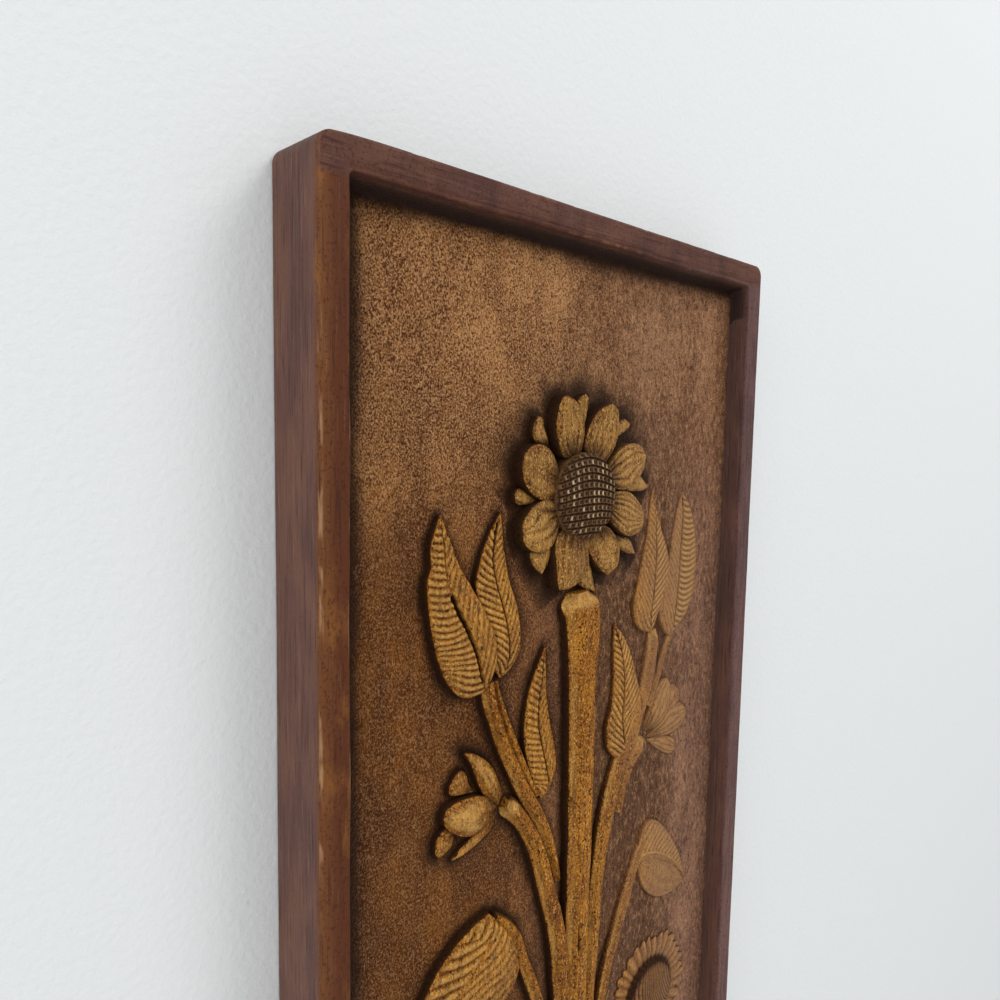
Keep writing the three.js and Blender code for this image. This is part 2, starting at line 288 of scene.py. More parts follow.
def rectangle_ring(x, z, right, top, radius):
    """A rounded rectangle about a middle, from its upper right corner round to the left."""
    steps_across, steps_up, steps_round = RING_STEPS
    places = []
    corners = ((1, 1), (-1, 1), (-1, -1), (1, -1))
    for number, (side, level) in enumerate(corners):
        cx, cz = x + side * (right - radius), z + level * (top - radius)
        turn = math.pi / 2 * (number + np.linspace(0, 1, steps_round))
        places.append(np.stack([cx + radius * np.cos(turn), cz + radius * np.sin(turn)], 1))
        count = steps_across if number % 2 == 0 else steps_up
        following = corners[(number + 1) % 4]
        turn = math.pi / 2 * (number + 1)
        start = places[-1][-1]
        nx, nz = x + following[0] * (right - radius), z + following[1] * (top - radius)
        end = np.array([nx + radius * math.cos(turn), nz + radius * math.sin(turn)])
        share = np.linspace(0, 1, count + 2)[1:-1, None]
        places.append(start + (end - start) * share)
    return np.concatenate(places)


def board_profile():
    """The section that is swept round the board, from under the ground over the rim and round to the back.
    Each point is its inset, height, corner radius, dirt with painted shade, and wear with painted highlights."""
    profile = []

    def stretch(end, steps):
        """Points on from the last one to this end."""
        start = profile[-1]
        for share in np.linspace(0, 1, steps + 1)[1:]:
            profile.append([a + (b - a) * share for a, b in zip(start, end)])

    def quarter_turn(steps):
        """The versine, the sine and the shine of each step round an arris."""
        for turn in np.linspace(0, math.pi / 2, steps)[1:]:
            yield 1 - math.cos(turn), math.sin(turn), math.sin(2 * turn)

    floor = GROUND - 1.2
    foot = RIM + WALL_LEAN
    lip = RIM + 0.6
    crown = THICKNESS - 0.02
    # The dirt values paint shade on the inner wall, darkest at its foot; the wear values paint highlights and
    # wear round the lip and the arrises.
    profile.append([foot + 8, floor, 1.0, 1.0, 0.0])
    stretch([foot + 0.6, floor, 1.5, 1.0, 0.0], 1)
    stretch([foot, GROUND + 0.6, 1.6, 1.0, 0.0], 2)
    stretch([lip + 0.2, GROUND + 0.6 * SUNK, 1.7, 0.7, 0.0], 5)
    stretch([lip, crown - LIP_ROUND, 1.8, 0.25, 0.0], 4)
    for versine, sine, shine in quarter_turn(6):
        profile.append([lip - LIP_ROUND * versine, crown - LIP_ROUND + LIP_ROUND * sine, 2.0, 0.1, 0.6 * shine])
    stretch([ARRIS_ROUND, crown, CORNER, 0.0, 0.0], 10)
    for versine, sine, shine in quarter_turn(7):
        profile.append([ARRIS_ROUND * (1 - sine), crown - ARRIS_ROUND * versine, CORNER, 0.0, shine])
    stretch([0.0, BACK_ROUND, CORNER, 0.15, 0.0], 16)
    for versine, sine, shine in quarter_turn(5):
        profile.append([BACK_ROUND * versine, BACK_ROUND * (1 - sine), CORNER, 0.2, 0.3 * shine])
    return profile


def make_board(material):
    """The rim, sides and back as one closed skin. No edge is quite straight, the arrises are worn and carry
    painted highlights, the inner walls and the pocket carry dirt and painted shade, and the inner edges of the
    rails are pared away."""
    outline = rectangle_ring(0, 0, WIDTH / 2, HEIGHT / 2, CORNER)
    along = np.concatenate([[0], np.cumsum(np.linalg.norm(np.diff(outline, axis=0), axis=1))])
    rings = []
    for inset, height, radius, dirt, wear_and_highlight in board_profile():
        ring = rectangle_ring(0, 0, WIDTH / 2 - inset, HEIGHT / 2 - inset, radius)
        x, z = ring.T
        square = np.abs(ring / (WIDTH / 2, HEIGHT / 2))
        on_side = (square[:, :1] > square[:, 1:]).astype(float)
        outward = np.sign(ring) * np.hstack([on_side, 1 - on_side])
        wave = 0.08 * (1 + noise(along, 0, 90, 3)) + 0.05 * (1 + noise(along, 0, 17, 5))
        chip = 0.3 * smoothstep(0.55, 0.9, noise(along, 0, 5, 8)) * (wear_and_highlight > 0.5)
        nick = 0.8 * np.exp(-(((x - 60) / 1.4) ** 2)) * (z > 0) * (wear_and_highlight > 0.3)
        inwards = (1 - smoothstep(3, 9, inset)) * (wave + chip + nick)
        inwards = inwards + smoothstep(7, 9, inset) * 0.35 * noise(along, 4, 26, 9)
        ring = ring - outward * inwards[:, None]
        rail = smoothstep(HEIGHT / 2 - 20, HEIGHT / 2 - 12, np.abs(z))
        pared = rail * smoothstep(RIM - 3, RIM - 0.3, inset) * np.clip((height - GROUND) / SUNK, 0, 1)
        ring[:, 1] += np.sign(z) * RAIL_PARING * pared
        from_left = (x + WIDTH / 2) / WIDTH
        up = np.clip(z / (HEIGHT / 2 - inset), 0, 1)
        inner = smoothstep(2, RIM - 1, inset)
        droop = 1.2 * np.exp(-from_left * WIDTH / 9) * (1 - inner)
        ring[:, 1] -= up * (OUT_OF_SQUARE * (from_left - inner / 2) + (TOP_RAIL - RIM) * inner + droop)
        ring[:, 0] += LEFT_LEAN * np.clip(-x / (WIDTH / 2), 0, 1) * min(height / THICKNESS, 1)
        level = height - (chip + nick) * 0.5
        if height > THICKNESS - 3:
            level = level - 0.08 * (1 + rough(x, z, 22, 11)) - 0.35 * rail * smoothstep(6, 9, inset)
        # The right side's inner wall gets half the dirt and painted shade.
        is_right = smoothstep(0, 20, x) * on_side[:, 0]
        rings.append((ring, level, dirt * (1 - 0.5 * is_right * (inset > 1)), np.full(len(ring), wear_and_highlight)))

    # The flat back runs in to the pocket, and the pocket goes in to its own floor.
    pocket_middle = TOP - POCKET_BELOW_TOP - POCKET_HEIGHT / 2
    mouth = rectangle_ring(0, pocket_middle, POCKET_WIDTH / 2, POCKET_HEIGHT / 2, 0.8)
    edge = rings[-1][0]
    middle = np.array([0, pocket_middle])
    # The back is painted a little dark, and the pocket dark, with dirt and painted shade.
    back = [(edge + (mouth - edge) * share, 0.0, 0.25) for share in np.linspace(0, 1, 7)[1:]]
    back += [(mouth, depth, 0.8) for depth in (0.5, POCKET_DEPTH - 0.4, POCKET_DEPTH)]
    back.append((middle + (mouth - middle) * 0.3, POCKET_DEPTH, 0.8))
    for ring, level, dirt in back:
        rings.append((ring, *(np.full(len(ring), value) for value in (level, dirt, 0.0))))

    ring, height, dirt, wear_and_highlight = (np.stack(values) for values in zip(*rings))
    index = np.arange(height.size).reshape(height.shape)
    faces = tube_faces(index) + [tuple(index[0]), tuple(index[-1][::-1])]
    board = Carving("board", material)
    board.add(ring[..., 0], DATUM - ring[..., 1], height - GROUND, dirt, wear_and_highlight, faces)
    piece = board.make(sharp=60)
    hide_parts("plaque")


def make_ground(material):
    """The punched ground in two closed slabs, sunk by the carver along every outline and darkened there with
    stain and painted shade.
    """
    outlines = np.concatenate([outline for carving in Carving.spray for outline in carving.outlines])
    halo_reaches = np.concatenate([np.full(len(outline), carving.halo_reach) for carving in Carving.spray
                             for outline in carving.outlines])
    tree = kdtree.KDTree(len(outlines))
    for number, (x, down) in enumerate(outlines):
        tree.insert((x, down, 0), number)
    tree.balance()

    right = WIDTH / 2 - RIM - WALL_LEAN
    upper, lower = RIM + WALL_LEAN, HEIGHT - TOP_RAIL - WALL_LEAN
    under_rim, seam = 0.6, 300.0
    x = np.linspace(-right - under_rim, right + under_rim, 247)
    slabs = {
        "ground_upper": np.linspace(upper - OUT_OF_SQUARE / 2 - under_rim, seam, 340),
        "ground_lower": np.linspace(seam, lower + under_rim, 170),
    }

    def surface(gx, gd):
        """Rise of the ground, and its dirt with painted shade."""
        near = np.array([tree.find((a, b, 0))[1:] for a, b in zip(gx.ravel(), gd.ravel())])
        distance = near[:, 1].reshape(gx.shape)
        halo_reach = halo_reaches[near[:, 0].astype(int)].reshape(gx.shape)
        is_sunflower = halo_reach > 6
        halo_reach = halo_reach * np.where(is_sunflower, 1, 1.2 - 0.75 * smoothstep(-25, 45, gx))
        punched = 0.4 + 0.6 * smoothstep(330, 60, gd + 0.8 * gx)
        rise = punched * (0.26 * noise(gx, gd, 1.7, 20) + 0.16 * noise(gx, gd, 3.1, 21))
        rise += 0.26 * rough(gx, gd, 16, 22) + 0.3 * noise(gx, gd, 60, 25)
        from_top = gd - upper - OUT_OF_SQUARE * gx / WIDTH
        from_left = right - 0.6 * LEFT_LEAN + gx
        walls = np.minimum(np.minimum(from_left, right - gx), np.minimum(from_top, lower - gd))
        rise -= 0.5 * np.exp(-distance / 1.8) + 0.3 * np.exp(-np.maximum(walls, 0) / 2.5)
        patchy = 1 + 0.5 * rough(gx, gd, 12, 30)
        strength = np.where(is_sunflower, 0.95, 0.84 - 0.45 * smoothstep(-10, 45, gx))
        # The halo round the blocks darkens the ground with stain and painted shade.
        halo = strength * np.exp(-((distance / (halo_reach * patchy)) ** 1.3))
        # Darker along the left wall and at the feet of the right and bottom walls; under the top rail, a
        # painted shadow.
        left_wall = 0.92 * np.exp(-((np.maximum(from_left, 0) / (8.5 * (0.7 + 0.3 * patchy))) ** 3))
        top_rail_shadow = 0.92 * np.exp(-((np.maximum(from_top, 0) / (4.5 * patchy)) ** 1.2))
        other_walls = 0.5 * np.exp(-np.maximum(np.minimum(right - gx, lower - gd), 0) / 1.5)
        undarkened = (1 - halo) * (1 - left_wall) * (1 - top_rail_shadow) * (1 - other_walls)
        return rise, 1 - undarkened

    for name, down in slabs.items():
        gd, gx = np.meshgrid(down, x, indexing="ij")
        rise, dirt = surface(gx, gd)
        slope_down, slope_x = np.gradient(rise, down, x)
        slab = Carving(name, material)
        index = np.arange(gx.size).reshape(gx.shape)
        loop = border(index)
        foot = gx.size + np.arange(len(loop))
        tops = (gx, gd, rise, dirt, np.zeros_like(gx))
        feet = [gx.ravel()[loop], gd.ravel()[loop], *(np.full(len(loop), value) for value in (-2.0, 1.0, 0.0))]
        faces = grid_faces(index) + list(zip(loop, np.roll(loop, -1), np.roll(foot, -1), foot)) + [tuple(foot)]
        slab.add(*(np.append(top, under) for top, under in zip(tops, feet)), faces)
        normals = np.stack([-slope_x, -np.ones_like(gx), slope_down], -1).reshape(-1, 3)
        normals /= np.linalg.norm(normals, axis=1)[:, None]
        slab.make(normals=np.vstack([normals, np.tile((0.0, -1.0, 0.0), (len(loop), 1))]))


def leaf_grid(base, tip, left, right, middle, rows, half):
    """The grid over a leaf, and its midrib. Also each row's share of the length, each column's place between
    the outlines from -1 to 1, and how far the outline lies from the midrib."""
    sides = [smooth_path([base, *points, tip], rows) for points in (left, right)]
    if middle is None:
        between = (sides[0] + sides[1]) / 2
        spine = smooth_path(between[np.linspace(0, rows - 1, 9).astype(int)], rows)
    else:
        spine = smooth_path([base, *middle, tip], rows)
    t = np.linspace(0, 1, rows)[:, None]
    s = np.linspace(-1, 1, 2 * half + 1)[None, :]
    u = np.sign(s) * np.abs(s) ** 1.5
    outline = np.where((u < 0)[..., None], sides[0][:, None], sides[1][:, None])
    reach = outline - spine[:, None]
    way = np.gradient(spine, axis=0)
    way /= np.maximum(np.linalg.norm(way, axis=1), 1e-6)[:, None]
    square = np.stack([-way[:, 1], way[:, 0]], 1)
    leftwards = sides[0] - spine
    turn = np.sign(np.sum(way[:, 0] * leftwards[:, 1] - way[:, 1] * leftwards[:, 0])) or 1.0
    blunt_end = 0.14 * np.exp(-np.minimum(t, 1 - t) * rows)
    place = spine[:, None] + np.abs(u)[..., None] * reach + (turn * -u * blunt_end)[..., None] * square[:, None]
    return place, spine, t, u, np.linalg.norm(reach, axis=2)


def leaf(carving, base, tip, left, right, edge, crest, middle=None, ribs=(0.5, 0.2), slant=(0.6, 0.8),
         bend=(0, 0), pitch=(2.4, 2.4), midrib=0.8, ink=0.9, slot=None, furrows=0, hollow=0.0, darkened=0.0,
         brightened=0.0, rows=120, half=22):
    """A leaf from base to tip between two outlines, with ribs on either half and a cut midrib.
    edge and crest give heights at the base and at the tip. ribs, slant, bend and pitch are pairs for the left
    and the right half: how deep the cuts are, how they lean towards the tip, how they curve and how far apart
    they lie. A negative midrib stands up as a fold. ink says how dark the cuts are painted, with dirt and
    painted shade, and the ribs' ridges and a fold get wear with painted highlights. slot gives the shares of
    the length between which the midrib is cut wide. furrows run the length of the leaf in place of ribs, over
    a hollow top. darkened makes the base darker, and brightened lightens the middle."""
    place, spine, t, u, wide = leaf_grid(base, tip, left, right, middle, rows, half)
    x, down = place[..., 0], place[..., 1]
    fine = smooth_path(spine, 6 * rows)
    steps = np.concatenate([[0], np.cumsum(np.linalg.norm(np.diff(fine, axis=0), axis=1))])
    distance = np.linalg.norm(place[:, :, None] - fine[None, None], axis=3)
    run, out = steps[distance.argmin(axis=2)], distance.min(axis=2)
    body = smoothstep(0.0, 0.05, t) * smoothstep(1.0, 0.93, t)
    lean, curve, depth, apart = (np.where(u < 0, *pair) for pair in (slant, bend, ribs, pitch))
    if furrows:
        phase = furrows * u / 2 + 0.35 * noise(t * 4, u * 2, 1, 42)
    else:
        phase = (run - lean * out - curve * out**2) / apart + 0.2 * noise(x, down, 9, 40)
    wave = (0.5 + 0.5 * np.cos(2 * math.pi * phase)) ** 2.6
    aside = np.abs(u)
    fade = smoothstep(0.02, 0.12, aside) * smoothstep(1.04, 0.86, aside) * smoothstep(0, 2.0, wide) * body
    low, high = edge[0] + (edge[1] - edge[0]) * t, crest[0] + (crest[1] - crest[0]) * t
    rise = low + (high - low) * (1 - aside**2.0) * smoothstep(0, 4, wide)
    rise = rise - depth * fade * wave + 0.15 * rough(x, down, 4, 41)
    rise = rise - hollow * smoothstep(0.9, 0.2, aside) * smoothstep(0.95, 0.6, t)
    groove = np.exp(-((out / 0.36) ** 2)) * body
    cut = max(midrib, 0) * groove
    if slot:
        inside = smoothstep(slot[0], slot[0] + 0.02, t) * smoothstep(slot[1], slot[1] - 0.02, t)
        bridge = smoothstep(slot[1], slot[1] + 0.03, t) * smoothstep(slot[1] + 0.1, slot[1] + 0.07, t)
        groove = groove * (1 - bridge)
        wide_cut = smoothstep(0.5 + 1.2 * t, 0.2 + 0.9 * t, out) * inside
        rise = rise - 2.4 * wide_cut
        cut = np.maximum(max(midrib, 0) * groove, wide_cut)
    rise = rise - midrib * groove
    # Dirt and painted shade in the midrib and the rib cuts, and a darker base.
    marked = np.minimum(1, 2 * depth) * fade
    dirt = 0.05 + ink * np.clip(1.2 * cut, 0, 1) + 0.62 * ink * marked * wave
    dirt = dirt + darkened * smoothstep(0.6, 0.05, t)
    # Wear with painted highlights on the ribs' ridges and on a raised fold.
    wear_and_highlight = 0.5 * marked * (1 - wave) ** 5 + 0.5 * (midrib < 0) * groove
    wear_and_highlight = wear_and_highlight + brightened * smoothstep(0.9, 0.4, aside) * smoothstep(0.25, 0.5, t)
    carving.block(x, down, rise, np.clip(dirt, 0, 1), np.clip(wear_and_highlight, 0, 1))


def stem(carving, points, edge, crest, facet=(-0.5, 0.35), rows=180, cut_end=0.0, scar=None):
    """A stem through (x, down, width), with a flat crest between its facets. edge and crest give heights at its
    start and its end. cut_end bevels its start over about this many millimetres. scar is a pointed hollow at
    (x, down, half its length), wider at its foot."""
    line = smooth_path(points, rows)
    way = np.gradient(line[:, :2], axis=0)
    way /= np.linalg.norm(way, axis=1)[:, None]
    u = np.array([-1, -0.94, -0.85, -0.74, -0.6, -0.4, -0.2, 0, 0.2, 0.38, 0.5, 0.62, 0.76, 0.9, 1.0])[None, :]
    run = np.concatenate([[0], np.cumsum(np.linalg.norm(np.diff(line[:, :2], axis=0), axis=1))])[:, None]
    half = line[:, 2:3] / 2 * (1 + 0.05 * noise(run, 7, 11, 50))
    if cut_end:
        half = half * (0.5 + 0.5 * smoothstep(0, cut_end, run) ** 0.6)
    x = line[:, :1] - way[:, 1:] * u * half
    down = line[:, 1:2] + way[:, :1] * u * half
    walls = 1.0
    t = np.linspace(0, 1, rows)[:, None]
    low, high = edge[0] + (edge[1] - edge[0]) * t, crest[0] + (crest[1] - crest[0]) * t
    facets = smoothstep(-1.05, facet[0], u) * smoothstep(1.05, facet[1], u)
    rise = low + (high - low) * facets + 0.2 * rough(x, down, 8, 51) + 0.18 * noise(u * 5, run / 30, 1, 52)
    # Painted light as from the right: a painted highlight along the right arris, painted shade down the left
    # side, and a darker line near the right facet.
    on_arris = smoothstep(facet[1] + 0.1, 0.85, u) * smoothstep(1.02, 0.9, u)
    wear_and_highlight = 0.42 * on_arris * (0.7 + 0.5 * noise(run, 3, 14, 55))
    dirt = 0.06 + 0.6 * smoothstep(-0.5, -1.0, u) + 0.15 * smoothstep(0.3, 0.0, np.abs(u - 0.55)) + 0 * run
    if cut_end:
        ragged = run + 1.3 * noise(u * 2.5, 0, 1, 53)
        bevel = smoothstep(cut_end * 1.5, 0, ragged)
        rise = rise - 0.45 * high * bevel
        # The bevelled end gets wear with painted highlights, and dirt with painted shade at its foot.
        wear_and_highlight = np.maximum(wear_and_highlight, 0.75 * smoothstep(0.1, 0.5, bevel) * (0.8 + 0.5 * rough(x, down, 2.5, 54)))
        walls = 1 - 0.65 * smoothstep(1.5, 0, run)
        dirt = dirt + 0.25 * smoothstep(0.75, 1.0, bevel)
    if scar:
        along_scar = np.clip((down - scar[1]) / scar[2] / 2 + 0.5, 0, 1)
        beside = np.abs(x - scar[0] - 1.6 * (along_scar - 0.5)) / (0.5 + 1.7 * along_scar)
        hollow = smoothstep(1.0, 0.4, beside)
        hollow = hollow * smoothstep(0, 0.12, along_scar) * smoothstep(1, 0.85, along_scar)
        # The scar's hollow is painted dark, with dirt and painted shade.
        rise = rise - 1.4 * hollow
        dirt = dirt + 0.75 * hollow
    carving.block(x, down, rise, np.clip(dirt, 0, 1), np.clip(wear_and_highlight, 0, 1), walls)


def make_sunflower(material):
    flower = Carving("sunflower", material, halo_reach=9.0)
    # base, tip, left outline and right outline of each small leaf behind the petals
    sepals = (
        ((-18.5, 85), (-23.5, 72.5), [(-24.5, 80), (-25, 76)], [(-17, 81.5), (-20, 76), (-21, 73)]),
        ((1.5, 80), (1.5, 63.5), [(-1, 72), (-2, 66)], [(3, 72), (3.5, 65)]),
        ((16.5, 82.5), (28.5, 74), [(19, 77.5), (25, 72.5)], [(23, 78.5), (27.5, 76)]),
        ((20, 100), (41.5, 99.5), [(29.5, 96.5), (36, 95)], [(30.5, 101), (39, 101)]),
        ((19.5, 117), (34.5, 127), [(26, 119.5), (31.5, 121.5)], [(24, 123), (30.5, 126.5)]),
        ((1, 123), (10, 140), [(-1, 129.5), (1.5, 136)], [(7, 128), (9, 135)]),
        ((-17.5, 114), (-20, 129.5), [(-24.5, 120), (-24, 125.5)], [(-14.5, 120), (-16.5, 126)]),
        ((-18, 103), (-34, 100), [(-27, 100), (-32, 98)], [(-27, 103.5), (-32.5, 103)]),
    )
    for base, tip, left, right in sepals:
        leaf(flower, base, tip, left, right, (1.6, 3.0), (3.2, 3.6), ribs=(0.15, 0.15), midrib=0, furrows=2,
             darkened=0.9, brightened=0.25, rows=32, half=7)
    # base, tip, left outline and right outline of each petal, its furrows, their depth and its hollow's depth
    petals = (
        ((-6, 87), (-11.5, 64.5), [(-11, 86.5), (-14, 81.5), (-15.5, 76), (-15, 70), (-13.5, 66)],
         [(-2.5, 86), (-1, 81), (-0.5, 76), (-2.5, 71), (-6, 66.5)], 5, 0.14, 0.6),
        ((6, 88.5), (14.5, 66.5), [(1, 84), (1, 79.5), (3.5, 74), (8, 69)],
         [(11, 89.5), (16, 85), (18.5, 80), (19, 74.5), (18, 69)], 5, 0.18, 0.7),
        ((13, 94.5), (36.5, 86.5), [(14.5, 91), (18, 87), (23, 83.5), (28.5, 82), (33.5, 83)],
         [(17.5, 98.5), (23, 100), (28, 99), (32.5, 96), (35.5, 92)], 5, 0.3, 0.8),
        ((13, 105), (36.5, 112), [(16, 102), (21.5, 101), (27, 101.5), (31.5, 104), (35, 108)],
         [(16.5, 111.5), (22, 116), (28, 119), (33.5, 118), (36, 115.5)], 7, 0.32, 0.5),
        ((8.5, 114), (15, 133.5), [(2, 119), (4.5, 123.5), (7.5, 127.5), (11, 131)],
         [(15.5, 115), (21, 120.5), (22, 126), (20.5, 130.5)], 3, 0.12, 0.7),
        ((-5.5, 112.5), (-12.5, 136), [(-12, 115), (-14.5, 119.5), (-14, 125), (-13.5, 131.5)],
         [(1, 116.5), (3.5, 123), (3.5, 130), (-1, 134), (-7, 136)], 6, 0.14, -0.9),
        ((-12, 107.5), (-32, 113.5),
         [(-12.5, 111.5), (-14, 116), (-17, 119.5), (-21.5, 121), (-27, 120), (-31, 117)],
         [(-15.5, 103.5), (-20.5, 102.5), (-25.5, 104), (-30, 107.5), (-32, 110.5)], 4, 0.26, 0.5),
        ((-12, 94.5), (-32.5, 88),
         [(-13, 99), (-17.5, 102), (-22, 102), (-26.5, 100), (-30.5, 96.5), (-32.5, 92)],
         [(-14.5, 90), (-18, 85), (-23, 82.5), (-28, 83), (-31.5, 85.5)], 2, 0.14, 0.9),
    )
    for base, tip, left, right, furrows, depth, hollow in petals:
        leaf(flower, base, tip, left, right, (4.2, 5.6), (5.2, 6.6), ribs=(depth, depth), midrib=0,
             furrows=furrows, hollow=hollow, darkened=0.65, brightened=0.1, rows=64, half=16)


def make_seed_head(material):
    """The sunflower's middle: a dome of square studs in rows, each stud with a pit."""
    head = Carving("seed_head", material, halo_reach=9.0)
    centre, radius = (0.6, 101.6), 16.2
    row, column = 2.85, 2.65

    def cell(share, angle):
        """Where a place lies in its cell, from -1 to 1 across and up. The rows arch over the dome."""
        x, y = radius * share * np.cos(angle), radius * share * np.sin(angle)
        y = y + 0.011 * (1 + y / radius) * x * x
        x = x * (1 - 0.0006 * y * y)
        x = x + 0.3 * noise(x, y, 5, 71)
        y = y + 0.25 * noise(x, y, 6, 72)
        across, up = ((x / column) % 1 - 0.5) * 2, ((y / row) % 1 - 0.5) * 2
        return across, up, np.floor(x / column), np.floor(y / row)

    def cut(share, angle):
        """1 in the furrows between the rows and in the pit of each cell, 0 on the studs."""
        across, up, *_ = cell(share, angle)
        furrow = smoothstep(0.64, 0.84, np.abs(up))
        gap = 0.85 * smoothstep(0.68, 0.9, np.abs(across))
        pit = smoothstep(0.5, 0.2, np.abs(across - 0.28)) * smoothstep(0.55, 0.25, np.abs(up))
        return np.maximum(np.maximum(furrow, gap), 0.95 * pit)

    def rise(share, angle):
        return 5.9 + 3.0 * np.sqrt(np.maximum(0, 1 - 0.97 * share**2.2)) - 0.8 * cut(share, angle)

    # Dirt and painted shade in the furrows and the pits.
    def dirt(share, angle):
        return 0.25 + 0.75 * cut(share, angle)

    # A painted highlight on one side of each stud, brighter on some studs than on others.
    def wear_and_highlight(share, angle):
        across, up, i, j = cell(share, angle)
        stud_highlight = np.clip(0.3 + 0.9 * noise(i, j, 0.7, 77), 0, 1)
        spot = smoothstep(0.75, 0.45, np.abs(across + 0.35)) * smoothstep(0.65, 0.3, np.abs(up))
        return stud_highlight * spot * (1 - cut(share, angle)) ** 2 * smoothstep(1.0, 0.8, share)

    head.disc(centre, lambda angle: radius + 0 * angle, 80, 360, rise, dirt, wear_and_highlight)


def make_daisies(material):
    daisies = Carving("daisies", material, halo_reach=2.4)
    outer, core, petals = 28.5, 15.5, 34
    for centre, seed in (((58.5, 335.0), 80), ((-56.5, 335.0), 84)):

        def between(angle):
            """0 along the middle of a petal and 1 where two meet."""
            turn = petals * angle / (2 * math.pi) + 0.2 * noise(angle * 4, 0, 1, seed)
            return np.abs((turn % 1) - 0.5) * 2

        def size(angle):
            """How far a petal reaches as a share of the longest."""
            return 1 - 0.05 * (1 + noise(np.floor(petals * angle / (2 * math.pi)), 2, 0.7, seed + 1))

        def reach(angle):
            return outer * (1 - 0.1 * between(angle) ** 1.5) * size(angle)

        def lines(radius, angle):
            """0 to 1 across the fine curved lines on the head."""
            x, y = radius * np.cos(angle), radius * np.sin(angle)
            bend = x + 5 * np.tanh(x / 7) - 0.055 * (y - 6) ** 2 + 0.8 * noise(x, y, 7, 86)
            return 0.5 + 0.5 * np.cos(2 * math.pi * bend / 2.2)

        def rise(share, angle):
            radius = share * outer
            dome = 2.0 + 2.6 * np.sqrt(np.maximum(0, 1 - 0.97 * (radius / core) ** 2))
            dome = dome - 0.35 * lines(radius, angle)
            ridge = 1 - smoothstep(0.15, 0.95, between(angle))
            fringe = 0.5 + 0.7 * ridge * smoothstep(core, core + 6, radius) - 0.6 * smoothstep(0.85, 1.0, share)
            return np.where(radius < core, dome, fringe)

        # Dirt and painted shade in the ring round the head, in the valleys between the petals and along the
        # head's lines.
        def dirt(share, angle):
            radius = share * outer
            ditch = 0.6 * np.exp(-(((radius - core - 0.8) / 1.7) ** 2))
            valley = 0.16 + 0.3 * smoothstep(0.45, 1.0, between(angle))
            return np.clip(np.where(radius < core, 0.3 + 0.4 * lines(radius, angle) ** 2, valley) + ditch, 0, 1)

        # Wear and painted highlights along the petals' ridges towards their tips.
        def wear_and_highlight(share, angle):
            return 0.25 * smoothstep(0.5, 0.1, between(angle)) * smoothstep(0.6, 0.9, share)

        daisies.disc(centre, reach, 60, 510, rise, dirt, wear_and_highlight, round_to=0.55)


def mirrored(points):
    """The same points on the other side of the middle stem's foot."""
    return [(2 * STEM_FOOT - x, *rest) for x, *rest in points]


